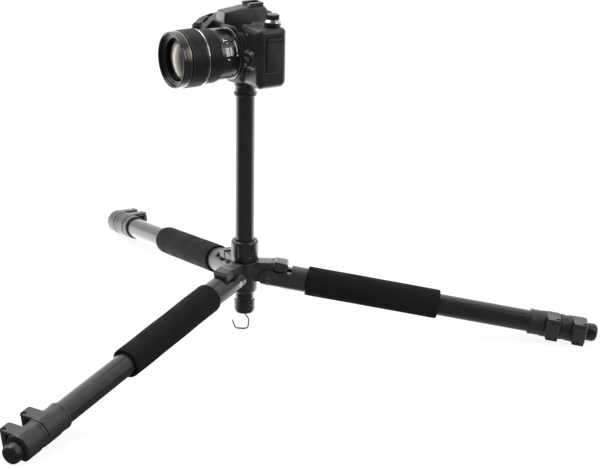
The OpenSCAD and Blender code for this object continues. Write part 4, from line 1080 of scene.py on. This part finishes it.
def knurled_ring(name, body, node, outline_r, inner_r, low, high, count, depth, margin):
    outline = [(inner_r, low), (outline_r - 0.3, low), (outline_r, low + 0.5), (outline_r, high - 0.5),
               (outline_r - 0.3, high), (inner_r, high)]
    soft = soften(outline, 0.25, closed=True)
    start, stop = low + margin, high - margin
    rows = np.array(dense([tuple(q) for q in soft], outline_r, start - 0.6, stop + 0.6, 0.6))
    sides = count * 8
    turn = np.linspace(0, 2 * math.pi, sides, endpoint=False)
    h = np.repeat(rows[:, 1:], sides, 1)
    r = np.repeat(rows[:, :1], sides, 1)
    r = r - ribs_wave(count, depth, start, stop, outline_r - 0.1)(turn[None], h, r)
    points = np.stack([r * np.cos(turn), r * np.sin(turn), h], -1)
    make_piece(name, body, LENS, [grid_patch(points, ends="joined")], GRIP_RIBS,
               [node], sharp=50)


def barrel_mark(angle, z_low, z_high, wide, r, thick=0.12):
    """A painted mark: a thin plate bent round the barrel, angle and width in degrees."""
    turn = np.radians(np.linspace(angle - wide / 2, angle + wide / 2, 6))
    ring = []
    for height in (z_low, z_high):
        inner = [((r - 0.3) * math.cos(t), (r - 0.3) * math.sin(t), height) for t in turn[::-1]]
        outer = [((r + thick) * math.cos(t), (r + thick) * math.sin(t), height) for t in turn]
        ring.append(outer + inner)
    return grid_patch(np.array(ring))


def lens_pieces():
    low = span("lens_barrel", LENS)[0][2]
    focus_low, focus_high = (p[2] for p in span("focus_ring", LENS))
    zoom_low, zoom_high = (p[2] for p in span("zoom_ring", LENS))
    front_low, front_high = (p[2] for p in span("front_barrel", LENS))
    r = BARREL_R
    head = zoom_high + GAP
    band = zoom_low - GAP - 3.5
    barrel = [(26.9, low), (26.9, FLANGE + 1), (32.2, FLANGE + 1), (32.2, FLANGE + 1.6),
              (31.0, FLANGE + 2.2), (30.8, FLANGE + 8), (r + 0.1, FLANGE + 9.5),
              (r + 0.5, focus_low - 1), (r - 0.8, focus_low - 0.2),
              (r - 0.8, focus_high + 0.2), (r + 0.5, focus_high + 0.5), (r + 1.6, band - 0.2),
              (r + 1.6, band + 0.2), (r + 1.6, band + 3.3), (r, band + 3.5), (r, head - 0.6),
              (r - 2.6, head - 0.6), (r - 2.6, focus_low - 2), (24, focus_low - 4), (24, low)]
    make_piece("lens_barrel_look", "column", LENS, [turned(barrel, 0.25, 144, closed=True)],
               FINISH["lens_shell"], ["lens_barrel"])
    silver = [(r + 1.4, band + 0.2), (35.1, band + 0.3), (35.3, band + 0.6), (35.3, band + 1.4),
              (35.0, band + 1.8), (r + 1.4, band + 1.9)]
    mount = [(32.0, FLANGE - 0.3), (32.7, FLANGE - 0.3), (32.7, FLANGE + 0.4), (32.0, FLANGE + 0.8)]
    make_piece("lens_silver_rings", "column", LENS,
               [turned(part, 0.12, 144, closed=True) for part in (silver, mount)],
               SILVER)
    knurled_ring("focus_ring_look", "focus", "focus_ring", r + 1.2, r - 0.75, focus_low, focus_high,
                 count=72, depth=0.45, margin=1.6)
    knurled_ring("zoom_ring_look", "zoom", "zoom_ring", 36.3, r + 0.05, zoom_low, zoom_high,
                 count=84, depth=0.7, margin=2.2)
    rim = 35.3
    inner = r - 2.65
    front = [(inner, front_low), (inner, head), (rim - 0.7, head), (rim, head + 0.6), (rim, front_high - 5.4),
             (rim - 0.35, front_high - 5.1), (rim - 0.35, front_high - 4.8), (rim, front_high - 4.5),
             (rim, front_high - 1.1), (rim - 0.9, front_high), (33.5, front_high)]
    for k in range(4):
        front += [(33.5, front_high - 0.6 - 0.8 * k), (33.15, front_high - 1.0 - 0.8 * k)]
    front += [(33.5, front_high - 4.2), (31.6, front_high - 4.3), (31.2, front_high - 5.2),
              (29.6, front_high - 5.4), (29.2, front_high - 6.6), (27.4, front_high - 6.8), (27.4, front_low)]
    make_piece("front_barrel_look", "front", LENS, [turned(front, 0.15, 144, closed=True)],
               FINISH["lens_shell"], ["front_barrel"])
    gold = [(rim - 0.6, head + 1.7), (rim + 0.12, head + 1.7),
            (rim + 0.12, head + 2.3), (rim - 0.6, head + 2.3)]
    make_piece("front_gold_line", "front", LENS, [turned(gold, 0.08, 144, closed=True)], GOLD)
    glass_piece()
    marks_on_barrel()


def glass_piece():
    """Front element: a closed dome that fills the front barrel's seat."""
    top = span("front_glass", LENS)[1][2]
    dome, depth = 100.0, 4.4
    radii = np.linspace(0.2, GLASS_R, 28)
    sag = dome - np.sqrt(dome ** 2 - radii ** 2)
    rows = np.array(list(zip(radii, top - sag)) + [(GLASS_R, top - depth), (0.2, top - depth)])
    turn = np.linspace(0, 2 * math.pi, 96, endpoint=False)
    r, h = rows[:, :1], np.repeat(rows[:, 1:], len(turn), 1)
    points = np.stack([r * np.cos(turn), r * np.sin(turn), h], -1)
    make_piece("front_glass_look", "front", LENS, [grid_patch(points)], FRONT_GLASS,
               ["front_glass"], sharp=60)


def marks_on_barrel():
    """Generic marks: two rows of short scale ticks and a framed window with its index, and the white
    dots and dashes of the mount."""
    r = BARREL_R + 0.35
    marks = []
    for angle, low, high, wide in ((44.5, 20.5, 21.3, 9.5), (43.5, 15.6, 21.3, 1.5), (36.5, 15.6, 18.0, 1.5)):
        marks.append(barrel_mark(angle, FLANGE + low, FLANGE + high, wide, r))
    for k in range(7):
        tall = 3.4 if k % 2 else 5.2
        marks.append(barrel_mark(9.5 + 2.6 * k, FLANGE + 18.6 - tall / 2, FLANGE + 18.6 + tall / 2, 1.6, r))
    for k in range(5):
        marks.append(barrel_mark(10.5 + 3.6 * k, FLANGE + 12.6, FLANGE + 14.8, 2.5, r))
    marks.append(barrel_mark(1, FLANGE + 16.8, FLANGE + 18.8, 3.0, r))
    make_piece("lens_scale_marks", "column", LENS, marks, MARKS)
    low, high = FLANGE + 3.6, FLANGE + 4.9
    ring = [barrel_mark(angle, low, high, 9.2, 30.85) for angle in (18.5, 28, 37.5)]
    ring.append(barrel_mark(7.5, FLANGE + 3.2, FLANGE + 5.2, 4.2, 30.85))
    ring.append(barrel_mark(-38, low + 0.4, high, 16, 30.85))
    make_piece("mount_marks", "column", LENS, ring, MARKS)


lens_pieces()


# ---------------------------------------------------------------- floor, light and viewpoint


def side_share(tree, links):
    """0 towards the viewer, 1 at the sides and behind: the viewer stands in a darker room."""
    flat = add(tree, "ShaderNodeVectorMath", {0: links, 1: (1, 1, 0)}, operation="MULTIPLY")
    aim = add(tree, "ShaderNodeVectorMath", {0: flat.outputs[0]}, operation="NORMALIZE")
    toward = SPIN @ np.array([0, -1, 0])
    along = add(tree, "ShaderNodeVectorMath", {0: aim.outputs[0], 1: tuple(toward)}, operation="DOT_PRODUCT")
    share = add(tree, "ShaderNodeMapRange", {
        "Value": along.outputs["Value"], "From Min": 0.3, "From Max": -0.5}, interpolation_type="SMOOTHSTEP")
    return share.outputs["Result"]


def paper_floor():
    """Pale floor that the eye sees as the white of the backdrop, with the object's shadow kept. In
    gloss it is dim towards the viewer and bright at the sides."""
    finish = bpy.data.materials.new("white_floor")
    finish.use_nodes = True
    tree = finish.node_tree
    tree.nodes.clear()
    out = tree.nodes.new("ShaderNodeOutputMaterial")
    matte = add(tree, "ShaderNodeBsdfDiffuse", {"Color": (0.86, 0.86, 0.86, 1)})
    glow = add(tree, "ShaderNodeEmission", {"Color": (1, 1, 1, 1), "Strength": 1.13})
    path = add(tree, "ShaderNodeLightPath")
    share = add(tree, "ShaderNodeMath", {0: path.outputs["Is Camera Ray"], 1: 0.78}, operation="MULTIPLY")
    mix = add(tree, "ShaderNodeMixShader", {"Fac": share.outputs[0]})
    tree.links.new(matte.outputs[0], mix.inputs[1])
    tree.links.new(glow.outputs[0], mix.inputs[2])
    place = add(tree, "ShaderNodeNewGeometry")
    from_centre = add(tree, "ShaderNodeVectorMath", {0: place.outputs["Position"], 1: tuple(CENTRE)},
                      operation="SUBTRACT")
    power = add(tree, "ShaderNodeMapRange", {
        "Value": side_share(tree, from_centre.outputs[0]), "To Min": 0.04, "To Max": 4.0})
    sheen = add(tree, "ShaderNodeEmission", {"Color": (1, 1, 1, 1), "Strength": power.outputs["Result"]})
    gloss = add(tree, "ShaderNodeMath", {0: path.outputs["Is Glossy Ray"], 1: 0.85}, operation="MULTIPLY")
    last = add(tree, "ShaderNodeMixShader", {"Fac": gloss.outputs[0]})
    tree.links.new(mix.outputs[0], last.inputs[1])
    tree.links.new(sheen.outputs[0], last.inputs[2])
    tree.links.new(last.outputs[0], out.inputs["Surface"])
    mesh = bpy.data.meshes.new("floor")
    reach = 6.0
    mesh.from_pydata([(-reach, -reach, 0), (reach, -reach, 0), (reach, reach, 0), (-reach, reach, 0)],
                     [], [(0, 1, 2, 3)])
    mesh.materials.append(finish)
    floor = bpy.data.objects.new("floor", mesh)
    bpy.context.scene.collection.objects.link(floor)


def room():
    """Backdrop: white to the eye, a softer grey as light on matt surfaces, and in gloss dim towards
    the viewer and bright at the sides and behind."""
    world = bpy.data.worlds.new("room")
    bpy.context.scene.world = world
    world.use_nodes = True
    tree = world.node_tree
    tree.nodes.clear()
    out = tree.nodes.new("ShaderNodeOutputWorld")
    path = add(tree, "ShaderNodeLightPath")
    place = add(tree, "ShaderNodeTexCoord")
    power = add(tree, "ShaderNodeMapRange", {
        "Value": side_share(tree, place.outputs["Generated"]), "To Min": 0.12, "To Max": 1.7})
    bright = add(tree, "ShaderNodeMix", {
        "Factor": path.outputs["Is Glossy Ray"], "A": 0.6, "B": power.outputs["Result"]})
    white = add(tree, "ShaderNodeBackground", {"Color": (1, 1, 1, 1), "Strength": 1.0})
    soft = add(tree, "ShaderNodeBackground", {"Color": (1, 1, 1, 1), "Strength": bright.outputs["Result"]})
    mix = add(tree, "ShaderNodeMixShader", {"Fac": path.outputs["Is Camera Ray"]})
    tree.links.new(soft.outputs[0], mix.inputs[1])
    tree.links.new(white.outputs[0], mix.inputs[2])
    tree.links.new(mix.outputs[0], out.inputs["Surface"])


def lamp(name, place, target, size, power):
    """Soft lamp of a width and a height in metres, that faces a point."""
    data = bpy.data.lights.new(name, "AREA")
    data.shape = "RECTANGLE"
    data.size, data.size_y = size
    data.energy = power
    made = bpy.data.objects.new(name, data)
    made.location = place
    away = made.location - Vector(target)
    made.rotation_euler = away.to_track_quat("Z", "Y").to_euler()
    bpy.context.scene.collection.objects.link(made)


# The viewer stands 2.19 m from the point where the leg axes meet, 0.78 m above it and 34 degrees
# round from the leg that points along -Y, and looks slightly past the column.
ROUND = math.radians(33.99)
YAW, PITCH, ROLL = 0.0354287, -0.3411903, 0.0157109
VIEWER = np.array([0.0, -2.04698, 0.77629])
LONG_LENS = 99.1


def viewpoint():
    spin = np.array([[math.cos(ROUND), -math.sin(ROUND), 0],
                     [math.sin(ROUND), math.cos(ROUND), 0],
                     [0, 0, 1]])
    ahead = np.array([math.sin(YAW) * math.cos(PITCH), math.cos(YAW) * math.cos(PITCH), math.sin(PITCH)])
    level = np.array([math.cos(YAW), -math.sin(YAW), 0])
    above = np.cross(level, ahead)
    right = math.cos(ROLL) * level + math.sin(ROLL) * above
    up = -math.sin(ROLL) * level + math.cos(ROLL) * above
    data = bpy.data.cameras.new("viewer")
    data.lens, data.sensor_width = LONG_LENS, 36.0
    viewer = bpy.data.objects.new("viewer", data)
    bpy.context.scene.collection.objects.link(viewer)
    turn = np.eye(4)
    turn[:3, 0], turn[:3, 1], turn[:3, 2] = spin @ right, spin @ up, -(spin @ ahead)
    turn[:3, 3] = CENTRE + spin @ VIEWER
    viewer.matrix_world = Matrix(turn.tolist())
    bpy.context.scene.camera = viewer
    return spin


SPIN = viewpoint()
paper_floor()
room()


def from_viewer(x, y, z):
    """A point given as metres to the viewer's right, away from the viewer and up, from the centre."""
    return CENTRE + SPIN @ np.array([x, y, z])


lamp("overhead", from_viewer(-0.9, 0.3, 1.9), from_viewer(0, 0, 0), (1.6, 1.2), 26)
lamp("side_strip", from_viewer(1.6, -0.9, 1.3), from_viewer(0, 0, 0), (0.25, 1.6), 14)
bpy.context.scene.view_settings.view_transform = "Standard"
